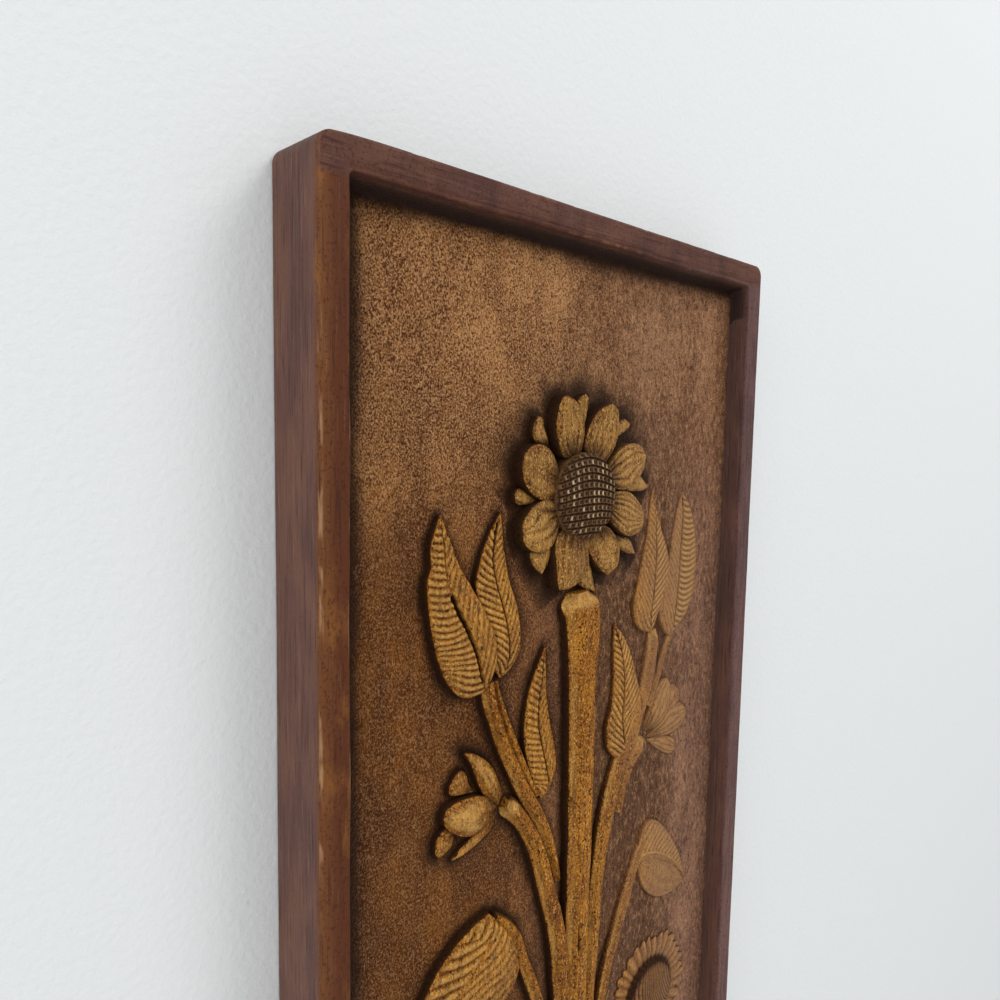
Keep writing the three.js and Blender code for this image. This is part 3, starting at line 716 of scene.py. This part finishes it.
def make_leaves(material):
    leaves = Carving("leaves", material, halo_reach=3.2)
    # The pair at the upper left
    leaf(leaves, (-38.5, 165), (-39.5, 106.5),
         [(-42.5, 159), (-44, 149.5), (-48, 139.5), (-50, 131.5), (-49, 124.5), (-45, 114.5)],
         [(-34.5, 163), (-30, 158), (-29, 150.5), (-31, 140.5), (-35, 130.5), (-38, 118.5)],
         middle=[(-35.5, 159), (-35.5, 151), (-37.5, 142.5), (-41, 132.5), (-43.5, 122.5), (-42, 112.5)],
         edge=(1.9, 1.7), crest=(3.4, 2.6), ribs=(0.5, 0.4), slant=(1.0, 1.2), pitch=(3.0, 3.6))
    leaf(leaves, (-47, 168), (-66.5, 105.5),
         [(-56, 168), (-62.5, 162.5), (-67, 153.5), (-69.5, 144), (-71, 135), (-71.5, 127), (-70, 122),
          (-70, 115)],
         [(-44, 164), (-41.5, 156.5), (-43, 148), (-47.5, 139.5), (-53, 131), (-59, 122), (-63, 113)],
         middle=[(-49.5, 162.5), (-51.5, 154), (-55, 146), (-59, 139), (-62, 132.5), (-64.5, 125),
                 (-65.5, 116)],
         edge=(3.6, 2.4), crest=(5.2, 3.2), ribs=(0.6, 0.35), slant=(0.15, 1.3), bend=(0.03, 0),
         pitch=(2.5, 4.4), midrib=0.5, slot=(0.06, 0.6))
    leaf(leaves, (-16.5, 216.5), (-15.5, 158.5),
         [(-20.5, 209.5), (-23.5, 201), (-25.5, 191), (-25, 181.5), (-23, 173), (-19.5, 165.5)],
         [(-12.5, 214), (-9, 207), (-9.5, 199), (-12.5, 188), (-14.5, 177), (-15, 167)],
         middle=[(-14, 211), (-16, 201.5), (-19, 190), (-19.5, 179.5), (-17.5, 169.5)],
         edge=(2.2, 1.4), crest=(4.0, 2.4), ribs=(0.45, 0.3), slant=(0.55, 1.2), pitch=(2.5, 3.6))
    # The pair at the upper right
    leaf(leaves, (49.5, 163), (49.5, 101.5),
         [(44, 161.5), (39.5, 157.5), (38, 150), (40.5, 141), (43, 131), (46, 120), (47.5, 109.5)],
         [(52.5, 159), (56.5, 151.5), (60, 144), (62, 136), (60, 128), (56, 120), (52, 110.5)],
         middle=[(48.5, 156), (50, 146), (51.5, 131), (51, 114)],
         edge=(1.6, 0.4), crest=(2.7, 1.1), ribs=(0.3, 0.5), slant=(1.5, 0.8), pitch=(3.4, 2.9), ink=0.6)
    leaf(leaves, (64, 167), (71, 103.5),
         [(60.5, 165), (56.5, 158.5), (55.5, 151), (58, 143), (62, 135), (64, 125), (67, 113)],
         [(69, 163), (75, 159), (79.5, 152), (81.5, 143), (82.5, 133), (81, 121), (77, 110.5)],
         middle=[(65.5, 159.5), (67.5, 148), (69, 133), (70.5, 116)],
         edge=(1.8, 0.3), crest=(2.9, 1.1), ribs=(0.2, 0.6), slant=(1.6, -0.45), bend=(0, 0.04),
         pitch=(3.6, 2.45), ink=0.6)
    leaf(leaves, (35, 214.5), (26, 156.5),
         [(29, 213.5), (24, 209.5), (22, 203.5), (22.5, 197), (25, 191), (26, 182), (26, 172), (25.5, 164)],
         [(38, 212.5), (42, 208), (44.5, 202), (46, 196), (44.5, 190.5), (40.5, 181), (37, 171), (31.5, 162)],
         middle=[(32.5, 208), (30.5, 197), (31.5, 187), (31.5, 177), (29.5, 167)],
         edge=(2.3, 0.8), crest=(3.5, 1.7), ribs=(0.5, 0.5), slant=(1.2, 1.0), pitch=(3.2, 3.2), ink=0.8)
    # The drooping pair, folded over
    leaf(leaves, (-43, 251.5), (-76.5, 290),
         [(-50.5, 253.5), (-58.5, 257.5), (-66.5, 264), (-73.5, 275)],
         [(-35.5, 259.5), (-29, 269), (-27, 278), (-31, 287), (-42.5, 292), (-56.5, 293), (-68.5, 292)],
         middle=[(-43.5, 260.5), (-50.5, 269), (-60.5, 277), (-69.5, 284)],
         edge=(3.2, 2.6), crest=(5.0, 3.6), ribs=(0.6, 0.4), slant=(1.5, -1.5), bend=(-0.02, 0), pitch=(6, 6),
         midrib=0)
    leaf(leaves, (46, 266), (84.5, 290),
         [(48, 272), (51, 279), (56, 285), (63, 289.5), (71, 291.5), (79, 291)],
         [(51, 266.5), (58, 268.5), (66, 272.5), (74, 277.5), (80, 283)],
         edge=(1.1, 0.7), crest=(2.2, 1.3), ribs=(0.12, 0.12), midrib=0, furrows=3, ink=0.5)
    leaf(leaves, (46, 267.5), (84.5, 290),
         [(50, 267.5), (58, 269), (66, 273), (74, 278), (80, 283.5)],
         [(47, 258), (51.5, 251), (56, 250.5), (62, 254), (68, 260), (74, 267.5), (79.5, 276.5)],
         middle=[(49, 264), (58, 266), (67, 271), (76, 278.5)],
         edge=(1.6, 0.8), crest=(2.3, 1.4), ribs=(0.1, 0.35), slant=(0.4, 0.6), pitch=(2.8, 2.8),
         midrib=-0.5, ink=0.5)
    # The two at the foot
    lower_left = [(28, 424), (50, 443), (67, 454)]
    lower_middle = [(30, 412), (54, 430), (69, 445)]
    lower_right = [(30, 397), (56, 411), (74, 434)]
    shape = {"edge": (2.4, 2.0), "crest": (4.2, 2.8), "ribs": (0.45, 0.45), "slant": (0.9, 0.9)}
    leaf(leaves, (6, 404), (80, 458), lower_left, lower_right, middle=lower_middle, **shape)
    leaf(leaves, *mirrored([(6, 404), (80, 458)]), mirrored(lower_right), mirrored(lower_left),
         middle=mirrored(lower_middle), **shape)


def make_buds(material):
    buds = Carving("buds", material, halo_reach=3.8)
    # base, tip, left outline, right outline, heights of the edge and the crest, furrows, how much darker the
    # base is and how much brighter the middle
    left_bud = [
        ((-39.8, 215.5), (-59, 225.5), [(-41, 219), (-44.5, 221.8), (-50, 224), (-55, 225.3)],
         [(-44, 217.8), (-48.5, 220), (-54, 222.3)], 1.6, 2.6, 1, 0.5, 0.3),
        ((-59, 216), (-66.5, 220.5), [(-60, 219.8), (-62.8, 221.4), (-65, 222)],
         [(-60, 213.8), (-62.8, 213.4), (-66, 216)], 2.0, 2.8, 1, 0.4, 0.15),
        ((-50.5, 203.5), (-60.5, 199), [(-54, 203.2), (-60, 201.8)],
         [(-52.5, 200), (-53.5, 196.8), (-55.5, 194.8), (-58, 196)], 1.6, 2.6, 1, 0.5, 0.15),
        ((-38.8, 211.5), (-54.5, 188.6),
         [(-41.5, 209.8), (-45.4, 205.9), (-48.4, 200.5), (-50.6, 195), (-52.8, 191)],
         [(-37.6, 207.5), (-39.5, 202), (-42.3, 196.8), (-46.5, 192.6), (-51, 189.8)], 2.4, 4.4, 3, 0.4, 0.3),
        ((-40.5, 211.5), (-63.8, 208.3),
         [(-42.5, 214), (-46.2, 217.4), (-50.5, 218.8), (-55.5, 217.5), (-60, 214.6), (-63, 211.5)],
         [(-43.5, 208), (-48, 205.8), (-53, 204.8), (-58.5, 204.8), (-62.5, 206)], 3.0, 5.6, 2, 0.6, 0.45),
    ]
    right_bud = [
        ((52, 212.5), (73, 222), [(59, 218), (68, 223)], [(61, 213), (71, 217)], 0.2, 0.6, 3, 0.2, 0),
        ((52, 211), (80.5, 205), [(64, 213.5), (74, 213), (79.5, 209.5)], [(62, 206), (68, 202.5), (75, 201)],
         0.35, 1.3, 4, 0.4, 0),
        ((62, 204), (74, 194.5), [(72.5, 200.5), (74.5, 197.5)], [(66, 196), (69, 191)], 0.3, 1.0, 2, 0.4, 0),
        ((48.5, 207), (64, 187), [(50, 202), (52.5, 196.5), (56, 191), (60, 187.5)],
         [(57, 208), (63, 205.5), (66.5, 201.5), (68, 196), (67, 190.5)], 0.6, 1.9, 5, 0.4, 0.1),
    ]
    for sepals, depth in ((left_bud, 0.15), (right_bud, 0.22)):
        for base, tip, left, right, edge, crest, furrows, darkened, brightened in sepals:
            leaf(buds, base, tip, left, right, (edge, edge), (crest, crest), ribs=(depth, depth), midrib=0,
                 furrows=furrows, darkened=darkened, brightened=brightened, rows=60, half=14)


def make_stems(material):
    stems = Carving("stems", material, halo_reach=3.0)
    daisy_stem = [(50, 360, 5), (38, 372, 5), (20, 388, 5.5), (4, 409, 6)]
    stem(stems, daisy_stem, (1.8, 3.4), (3.0, 4.6))
    stem(stems, mirrored(daisy_stem), (1.8, 3.4), (3.0, 4.6))
    # The twig, the branch and the stem of the upper right
    stem(stems, [(66, 164, 2.2), (62, 171.2, 2.2), (58.9, 177.4, 2.2), (56, 183.6, 2.4), (53, 189.5, 3),
                 (50, 196, 3.4)], (0.8, 1.6), (1.6, 2.6))
    stem(stems, [(47.8, 210.5, 6), (43.5, 214, 6.4), (38.5, 219, 5), (33.5, 226.5, 4.4), (29.5, 237, 3.6)],
         (0.9, 2.2), (2.2, 3.6), cut_end=2.0)
    stem(stems, [(49, 257, 2.5), (46.3, 262.5, 3.5), (42.8, 270, 5.2), (38.3, 279.7, 5.8), (34.8, 287.3, 5.8),
                 (31.6, 294.3, 5.6), (28, 302.4, 5.2), (25.4, 309.7, 5), (22.2, 320, 4.8), (14.5, 345, 4.8),
                 (4.5, 397.5, 5)], (1.2, 3.6), (2.2, 5.0))
    # The upper left's second stem runs down beside its first
    stem(stems, [(-41.5, 165.5, 2.4), (-39.6, 172.3, 3), (-38, 176.7, 3.4), (-35.7, 181.8, 3.6),
                 (-33.6, 186.5, 3.8), (-31.4, 191.5, 3.8), (-28.9, 196.5, 3.8), (-26.3, 201.8, 3.6),
                 (-23.5, 207.5, 3), (-20, 214, 2.4)], (1.4, 2.0), (3.4, 3.6))
    stem(stems, [(-39.5, 253.8, 1.8), (-34, 259, 3.2), (-28.5, 267, 4.4), (-25, 277, 4.6), (-21, 286.5, 5),
                 (-16.5, 298.5, 5), (-10.5, 319.5, 5), (-4.5, 345.5, 5), (2, 397.5, 5)], (2.4, 3.0), (4.2, 5.0))
    stem(stems, [(-45.6, 165, 5), (-43.7, 173.7, 4.8), (-41.2, 179.7, 4.8), (-38.3, 187, 5),
                 (-35.3, 193.4, 5.2), (-32, 199.6, 5.4), (-28.4, 206.6, 5.6), (-24.8, 212.6, 5.8),
                 (-20.6, 219.2, 6), (-16.8, 225.5, 5.4), (-13.7, 232, 4.8), (-11.2, 238.5, 4), (-9, 246, 3),
                 (-7.6, 252, 1.8)], (2.2, 2.6), (5.0, 4.4))
    stem(stems, [(-34.6, 213.2, 8), (-31, 216.8, 7), (-26.6, 222, 6.4), (-21.5, 230.2, 6.6), (-17.6, 239, 7),
                 (-14.7, 248.3, 7.4), (-12.1, 256.7, 7.6), (-9.2, 265, 7.8), (-6.7, 274.4, 8), (-5, 283.9, 8.2),
                 (-3.9, 293.5, 8.2), (-3, 303, 8), (-2.2, 330, 7.2), (-0.5, 360.5, 6.2), (1.5, 396.5, 5)],
         (2.4, 3.2), (5.4, 5.8), cut_end=3.0)
    stem(stems, [(52.6, 162.5, 4.8), (51.9, 167.7, 5.8), (51.2, 173, 6.4), (50, 179, 7), (48.2, 185.2, 7.2),
                 (45.6, 191.5, 7), (42.5, 197.5, 7), (37, 206.5, 8), (30.6, 217.5, 9), (26.6, 226.5, 9.2),
                 (23.2, 236.4, 8.2), (20.6, 246, 7.2), (18.8, 255, 6.8), (17.3, 265, 6.6), (16.4, 277, 6.4),
                 (15.2, 291, 6.4), (13.6, 307, 6.4), (11, 336, 6), (6, 371, 5), (3.5, 396.5, 5)],
         (1.0, 3.4), (2.8, 5.8), cut_end=2)
    # The middle stem
    stem(stems, [(2.4, 139.5, 19), (2.8, 144, 19.5), (3.4, 150, 18), (3.6, 160, 16), (3.5, 172, 14),
                 (3.5, 183, 12.8), (3.9, 209, 12.4), (4.3, 235, 12), (4.2, 260, 11.4), (4.0, 290, 11),
                 (3.6, 340, 12), (2, 396, 15.5), (1.5, 436, 16.5), (1.5, 463, 20)],
         (3.2, 3.4), (6.4, 6.4), facet=(-0.7, 0.4), rows=330, cut_end=4.5, scar=(3.4, 280.5, 7.0))


# Materials


class Tree:
    """A material's nodes, added one call at a time. An input is a number, a colour or another node's output."""

    def __init__(self, name):
        self.material = bpy.data.materials.new(name)
        self.material.use_nodes = True
        self.nodes = self.material.node_tree.nodes
        self.links = self.material.node_tree.links
        self.shader = next(n for n in self.nodes if n.type == "BSDF_PRINCIPLED")
        self.where = self.add("ShaderNodeTexCoord").outputs["Object"]

    def add(self, kind, inputs=(), **settings):
        node = self.nodes.new(kind)
        for name, value in settings.items():
            setattr(node, name, value)
        for key, value in dict(inputs).items():
            if isinstance(value, bpy.types.NodeSocket):
                self.links.new(value, node.inputs[key])
            else:
                node.inputs[key].default_value = value
        return node

    def noise(self, scale, detail=3.0, roughness=0.55, distortion=0.0, offset=0.0):
        """Noise with this many cells to the metre along x, y and z."""
        settings = {"Vector": self.where, "Scale": scale, "Location": (offset,) * 3}
        mapping = self.add("ShaderNodeMapping", settings)
        settings = {"Vector": mapping.outputs[0], "Scale": 1.0, "Detail": detail, "Roughness": roughness}
        node = self.add("ShaderNodeTexNoise", {**settings, "Distortion": distortion})
        return node.outputs["Fac"]

    def axis(self, number):
        """One coordinate of the place, in metres."""
        return self.add("ShaderNodeSeparateXYZ", {0: self.where}).outputs[number]

    def ramp(self, value, low, high, out_low=0.0, out_high=1.0):
        node = self.add("ShaderNodeMapRange", {0: value, 1: low, 2: high, 3: out_low, 4: out_high},
                        interpolation_type="SMOOTHSTEP")
        return node.outputs[0]

    def mix(self, share, a, b):
        node = self.add("ShaderNodeMix", data_type="RGBA", clamp_factor=True)
        for number, value in ((0, share), (6, a), (7, b)):
            if isinstance(value, bpy.types.NodeSocket):
                self.links.new(value, node.inputs[number])
            else:
                node.inputs[number].default_value = value
        return node.outputs[2]

    def maths(self, how, a, b=0.0):
        return self.add("ShaderNodeMath", {0: a, 1: b}, operation=how).outputs[0]

    def times(self, a, b):
        return self.maths("MULTIPLY", a, b)

    def attribute(self, name):
        return self.add("ShaderNodeAttribute", attribute_name=name).outputs["Fac"]

    def finish(self, colour, roughness, height, bump, specular):
        self.links.new(colour, self.shader.inputs["Base Color"])
        self.links.new(roughness, self.shader.inputs["Roughness"])
        self.shader.inputs["Specular IOR Level"].default_value = specular
        relief = self.add("ShaderNodeBump", {"Height": height, "Strength": 1.0, "Distance": bump * MM})
        self.links.new(relief.outputs[0], self.shader.inputs["Normal"])
        return self.material


def srgb(red, green, blue):
    """A colour as a screen shows it, from 0 to 255, in the renderer's linear values."""
    def linear(value):
        value /= 255
        return value / 12.92 if value <= 0.04045 else ((value + 0.055) / 1.055) ** 2.4
    return (linear(red), linear(green), linear(blue), 1.0)


def carved_wood(name, dark, light, fleck):
    """The spray: amber wood, worn and lit with painted highlights on its crests, darkened with dirt and painted
    shade in its cuts, and pale with a painted sheen towards the right, with open pores.
    """
    tree = Tree(name)
    mottle = tree.noise((45, 45, 28), 3, offset=3)
    grain = tree.noise((620, 620, 90), 4, 0.65, offset=1)
    pores = tree.noise((1700, 1700, 1000), 2, 0.6, offset=5)
    holes = tree.noise((1100, 1100, 700), 1, 0.5, offset=12)
    flecks = tree.noise((1500, 1500, 1000), 3, 0.7, offset=9)
    colour = tree.mix(tree.ramp(mottle, 0.35, 0.65), dark, light)
    colour = tree.mix(tree.ramp(grain, 0.42, 0.66, 0, 0.85), colour, srgb(104, 54, 10))
    # A painted sheen: towards the right the wood turns pale grey-pink, and its flecks and pores show less.
    painted_sheen = tree.ramp(tree.axis(0), 0.005, 0.07, 0, 0.85)
    colour = tree.mix(painted_sheen, colour, srgb(146, 106, 76))
    shown = tree.times(tree.ramp(flecks, 0.52, 0.64), tree.ramp(painted_sheen, 0, 0.85, 0.7, 0.25))
    colour = tree.mix(shown, colour, fleck)
    calm = tree.ramp(painted_sheen, 0, 0.85, 0.9, 0.3)
    speck = tree.ramp(pores, 0.53, 0.63)
    colour = tree.mix(tree.times(speck, calm), colour, srgb(72, 34, 6))
    hole = tree.ramp(holes, 0.625, 0.69)
    colour = tree.mix(tree.times(hole, calm), colour, srgb(40, 16, 2))
    # Wear and painted highlights lighten the crests, the ridges and the arrises.
    worn_and_highlit = tree.times(tree.attribute("wear_and_highlight"), tree.ramp(grain, 0.3, 0.6, 1.0, 0.6))
    colour = tree.mix(worn_and_highlit, colour, srgb(228, 180, 102))
    # Dirt and painted shade darken the cuts, the walls and the bases.
    dirt = tree.attribute("dirt")
    colour = tree.mix(tree.ramp(dirt, 0.1, 0.9, 0, 0.96), colour, srgb(40, 20, 8))
    height = tree.maths("ADD", tree.times(flecks, 0.5), tree.times(hole, -0.6))
    roughness = tree.ramp(dirt, 0.0, 1.0, 0.42, 0.75)
    return tree.finish(colour, roughness, height, 0.45, specular=0.12)


def seed_wood():
    """The seed head: darker than the petals, with painted highlights on its studs and dirt with painted shade
    in its furrows and pits.
    """
    tree = Tree("seed_wood")
    mottle = tree.noise((520, 520, 520), 3)
    colour = tree.mix(tree.ramp(mottle, 0.35, 0.65), srgb(88, 58, 30), srgb(116, 82, 46))
    # Painted highlights and wear lighten one side of the studs.
    colour = tree.mix(tree.attribute("wear_and_highlight"), colour, srgb(214, 186, 146))
    # Dirt and painted shade darken the furrows and the pits.
    dirt = tree.attribute("dirt")
    colour = tree.mix(tree.ramp(dirt, 0.2, 0.9, 0, 0.94), colour, srgb(44, 24, 12))
    roughness = tree.ramp(dirt, 0.0, 1.0, 0.4, 0.7)
    return tree.finish(colour, roughness, mottle, 0.2, specular=0.16)


def ground_wood():
    """The ground: gold to plum from left to right, the plum's paleness partly a painted sheen, darker lower
    down, punched all over with painted highlights on the punches, and nearly black in its corners with dirt and
    painted shade.
    """
    tree = Tree("punched_wood")
    broad = tree.noise((13, 13, 9), 4, 0.6, offset=2)
    patches = tree.noise((60, 60, 26), 4, 0.65, offset=8)
    punches = tree.noise((1750, 1750, 1300), 3, 0.65, 0.3, offset=4)
    strokes = tree.noise((1900, 1900, 650), 3, 0.6, 0.3, offset=7)
    gouges = tree.noise((640, 640, 300), 4, 0.65, 0.4, offset=15)
    leftwards = tree.ramp(tree.axis(0), 0.06, -0.05)
    lower = tree.ramp(tree.axis(2), 0.21, 0.11)
    # Gold on the left to plum on the right, both darker lower down: the plum's pale grey-pink is partly a
    # painted sheen, and the darkening lower down partly painted shade.
    gold = tree.mix(lower, srgb(208, 146, 88), srgb(134, 78, 24))
    plum = tree.mix(lower, srgb(184, 134, 98), srgb(184, 136, 108))
    light = tree.mix(leftwards, plum, gold)
    dark = tree.mix(leftwards, tree.mix(lower, srgb(134, 90, 62), srgb(124, 88, 72)),
                    tree.mix(lower, srgb(138, 86, 48), srgb(90, 46, 14)))
    colour = tree.mix(tree.ramp(patches, 0.34, 0.66), dark, light)
    colour = tree.mix(tree.ramp(broad, 0.4, 0.6, 0, 0.75), colour, dark)
    # Dirt and painted shade between the stems and the right-hand leaves.
    among_leaves = tree.times(tree.ramp(tree.axis(0), -0.01, 0.015), tree.ramp(tree.axis(0), 0.085, 0.055))
    dirt_and_shade_among_leaves = tree.times(among_leaves, tree.ramp(lower, 0, 1, 0.25, 0.8))
    colour = tree.mix(dirt_and_shade_among_leaves, colour, srgb(92, 58, 34))
    # Painted highlights on the punches' crests, strongest at the upper left.
    stipple = tree.times(tree.ramp(leftwards, 0, 1, 0.45, 1.0), tree.ramp(lower, 0, 1, 1.0, 0.5))
    crest = tree.times(tree.ramp(punches, 0.5, 0.62), tree.times(stipple, 0.6))
    colour = tree.mix(crest, colour, srgb(222, 176, 122))
    # Painted highlights on the gouges' ridges and painted shade in their furrows; the bump leaves the gouges
    # out.
    ridge = tree.times(tree.ramp(gouges, 0.52, 0.64), tree.ramp(leftwards, 0, 1, 0.5, 0.1))
    colour = tree.mix(ridge, colour, srgb(206, 152, 108))
    furrow = tree.times(tree.ramp(gouges, 0.48, 0.36), tree.ramp(leftwards, 0, 1, 0.6, 0.15))
    colour = tree.mix(furrow, colour, srgb(66, 38, 22))
    # Stain, dirt and painted shade darken the ground round the blocks and along the walls; under the top rail
    # it is a painted shadow.
    dirt = tree.attribute("dirt")
    colour = tree.mix(tree.ramp(dirt, 0.05, 0.85, 0, 0.93), colour, srgb(40, 23, 13))
    # Painted shade and dirt in the punches' pits.
    pit = tree.times(tree.ramp(punches, 0.5, 0.4), tree.ramp(stipple, 0, 1, 0.3, 0.85))
    colour = tree.mix(pit, colour, srgb(52, 24, 6))
    tick = tree.times(tree.ramp(strokes, 0.58, 0.68), tree.ramp(leftwards, 0, 1, 0.45, 0.35))
    colour = tree.mix(tick, colour, srgb(50, 27, 17))
    height = tree.maths("ADD", punches, tree.times(strokes, -0.4))
    roughness = tree.ramp(punches, 0.3, 0.7, 0.7, 0.5)
    return tree.finish(colour, roughness, height, 0.9, specular=0.1)


def board_wood():
    """The rim and sides: purple-brown with fine upright pores, scraped along the top and bottom rails,
    grey-purple with a painted sheen on the front towards the right, with wear and painted highlights on the
    arrises and dirt with painted shade on the inner walls.
    """
    tree = Tree("board_wood")
    right, top = WIDTH / 2 * MM, HEIGHT / 2 * MM
    is_rail = tree.ramp(tree.maths("ABSOLUTE", tree.axis(2)), top - 0.0135, top - 0.0105)
    is_front = tree.ramp(tree.axis(1), -0.0215, -0.0245)
    on_rail = tree.times(is_rail, is_front)
    upright = tree.noise((1100, 1100, 50), 4, 0.65, offset=2)
    along_rail = tree.noise((48, 1000, 1000), 4, 0.65, offset=6)
    streaks = tree.add("ShaderNodeMix", {0: on_rail, 2: upright, 3: along_rail}, data_type="FLOAT").outputs[0]
    mottle = tree.noise((60, 60, 26), 4, 0.6, offset=4)
    specks = tree.noise((1300, 1300, 900), 3, 0.6, offset=11)
    rightwards = tree.ramp(tree.axis(0), -0.02, 0.06)
    side = tree.mix(tree.ramp(mottle, 0.35, 0.65), srgb(96, 67, 59), srgb(116, 81, 67))
    outer = tree.ramp(tree.maths("ABSOLUTE", tree.axis(0)), right - 0.0075, right - 0.002)
    front = tree.mix(outer, srgb(92, 48, 24), srgb(112, 66, 34))
    front = tree.mix(tree.ramp(mottle, 0.5, 0.66, 0, 0.75), front, srgb(138, 88, 38))
    # A painted sheen: towards the right the front turns grey-purple.
    sheen_front = tree.mix(tree.ramp(mottle, 0.35, 0.65), srgb(92, 66, 64), srgb(112, 80, 74))
    front = tree.mix(rightwards, front, sheen_front)
    rail = tree.mix(tree.ramp(mottle, 0.35, 0.65), srgb(80, 48, 40), srgb(104, 66, 52))
    colour = tree.mix(is_front, side, front)
    colour = tree.mix(on_rail, colour, rail)
    colour = tree.mix(tree.ramp(streaks, 0.52, 0.7, 0, 0.6), colour, srgb(52, 31, 26))
    pale = tree.times(tree.ramp(streaks, 0.42, 0.28), tree.ramp(is_front, 0, 1, 0.4, 0.2))
    colour = tree.mix(pale, colour, srgb(156, 118, 98))
    speck = tree.times(tree.ramp(specks, 0.54, 0.64), tree.ramp(is_front, 0, 1, 0.2, 0.6))
    colour = tree.mix(speck, colour, srgb(60, 31, 18))
    # Wear and painted highlights lighten the arrises, in patches.
    worn_and_highlit = tree.times(tree.attribute("wear_and_highlight"), tree.ramp(tree.noise((330, 330, 60), 3), 0.47, 0.62))
    rubbed = tree.ramp(tree.noise((14, 14, 11), 2, offset=21), 0.52, 0.6, 0.12, 0.7)
    colour = tree.mix(tree.times(worn_and_highlit, rubbed), colour, srgb(186, 142, 104))
    # Dirt and painted shade darken the inner walls, the back and the pocket.
    dirt = tree.attribute("dirt")
    colour = tree.mix(tree.ramp(dirt, 0.1, 0.95, 0, 0.94), colour, srgb(38, 24, 20))
    roughness = tree.ramp(streaks, 0.3, 0.7, 0.5, 0.66)
    return tree.finish(colour, roughness, streaks, 0.3, specular=0.16)


def plain(name, colour, roughness):
    tree = Tree(name)
    tree.shader.inputs["Base Color"].default_value = colour
    tree.shader.inputs["Roughness"].default_value = roughness
    return tree


# The room


def flat_piece(name, corners, faces, material):
    mesh = bpy.data.meshes.new(name)
    mesh.from_pydata(corners, [], faces)
    mesh.materials.append(material)
    piece = bpy.data.objects.new(name, mesh)
    bpy.context.scene.collection.objects.link(piece)
    return piece


def make_wall():
    """A pale wall behind the board, open where the board hides it and unseen from behind."""
    reach, foot, y = 4.0, -1.4, 0.0006
    inner_x, inner_z = (WIDTH / 2 - 6) * MM, (HEIGHT / 2 - 6) * MM
    corners = [(-reach, y, foot), (reach, y, foot), (reach, y, reach), (-reach, y, reach)]
    corners += [(sx * inner_x, y, sz * inner_z) for sx, sz in ((-1, -1), (1, -1), (1, 1), (-1, 1))]
    faces = [(k, (k + 1) % 4, 4 + (k + 1) % 4, 4 + k) for k in range(4)]
    tree = plain("wall_paint", srgb(238, 240, 240), 0.85)
    grain = tree.noise((420, 420, 420), 3, 0.6)
    relief = tree.add("ShaderNodeBump", {"Height": grain, "Strength": 0.5, "Distance": 0.0006})
    tree.links.new(relief.outputs[0], tree.shader.inputs["Normal"])
    clear = tree.add("ShaderNodeBsdfTransparent")
    seen = tree.add("ShaderNodeMixShader", {0: tree.add("ShaderNodeNewGeometry").outputs["Backfacing"],
                                            1: tree.shader.outputs[0], 2: clear.outputs[0]})
    output = next(n for n in tree.nodes if n.type == "OUTPUT_MATERIAL")
    tree.links.new(seen.outputs[0], output.inputs[0])
    wall = flat_piece("wall", corners, faces, tree.material)


def make_floor():
    level = -1.4
    corners = [(-4, -5, level), (4, -5, level), (4, 0, level), (-4, 0, level)]
    paint = plain("floor_paint", srgb(226, 224, 220), 0.8)
    floor = flat_piece("floor", corners, [(0, 1, 2, 3)], paint.material)


def area_light(name, place, size, watts, colour):
    """A round soft light that faces the middle of the board's back."""
    light = bpy.data.lights.new(name, "AREA")
    light.shape = "DISK"
    light.size = size
    light.energy = watts
    light.color = colour
    lamp = bpy.data.objects.new(name, light)
    lamp.location = place
    lamp.rotation_euler = (-Vector(place)).to_track_quat("-Z", "Y").to_euler()
    bpy.context.scene.collection.objects.link(lamp)


def make_lights():
    world = bpy.data.worlds.new("room")
    world.use_nodes = True
    sky = world.node_tree.nodes["Background"]
    sky.inputs[0].default_value = (0.95, 0.975, 1.0, 1.0)
    sky.inputs[1].default_value = 0.68
    bpy.context.scene.world = world
    area_light("window", place=(1.15, -1.4, 1.8), size=1.2, watts=19.5, colour=(1.0, 0.985, 0.96))
    area_light("fill", place=(-2.0, -1.2, 0.6), size=1.5, watts=14, colour=(0.97, 0.98, 1.0))


def make_camera():
    """The photo's view: close in, to the left of the board and below its top, with a phone's wide lens."""
    place = Vector((-217.6, -213.3, DATUM - 77.5)) * MM
    yaw, pitch, roll = 0.7369, 0.0907, 0.018
    focal_share = 0.765
    ahead = Vector((math.sin(yaw), math.cos(yaw), 0))
    across = Vector((math.cos(yaw), -math.sin(yaw), 0))
    upward = Vector((0, 0, 1))
    forward = ahead * math.cos(pitch) - upward * math.sin(pitch)
    over = upward * math.cos(pitch) + ahead * math.sin(pitch)
    right = across * math.cos(roll) + over * math.sin(roll)
    up = -across * math.sin(roll) + over * math.cos(roll)
    camera = bpy.data.cameras.new("camera")
    camera.sensor_width = 36
    camera.lens = 36 * focal_share
    camera.clip_start = 0.01
    camera.clip_end = 50
    holder = bpy.data.objects.new("camera", camera)
    turned = Matrix((right, up, -forward)).transposed().to_4x4()
    turned.translation = place
    holder.matrix_world = turned
    bpy.context.scene.collection.objects.link(holder)
    bpy.context.scene.camera = holder


amber = carved_wood("amber_wood", srgb(136, 76, 12), srgb(182, 116, 30), srgb(224, 170, 84))
petals = carved_wood("petal_wood", srgb(116, 74, 26), srgb(164, 114, 50), srgb(222, 174, 100))
make_sunflower(petals)
make_seed_head(seed_wood())
make_leaves(amber)
make_buds(amber)
make_stems(amber)
make_daisies(amber)
paint_contact_shade()
for carving in Carving.spray:
    carving.make()
make_ground(ground_wood())
make_board(board_wood())
make_wall()
make_floor()
make_lights()
make_camera()
bpy.context.scene.view_settings.view_transform = "Standard"
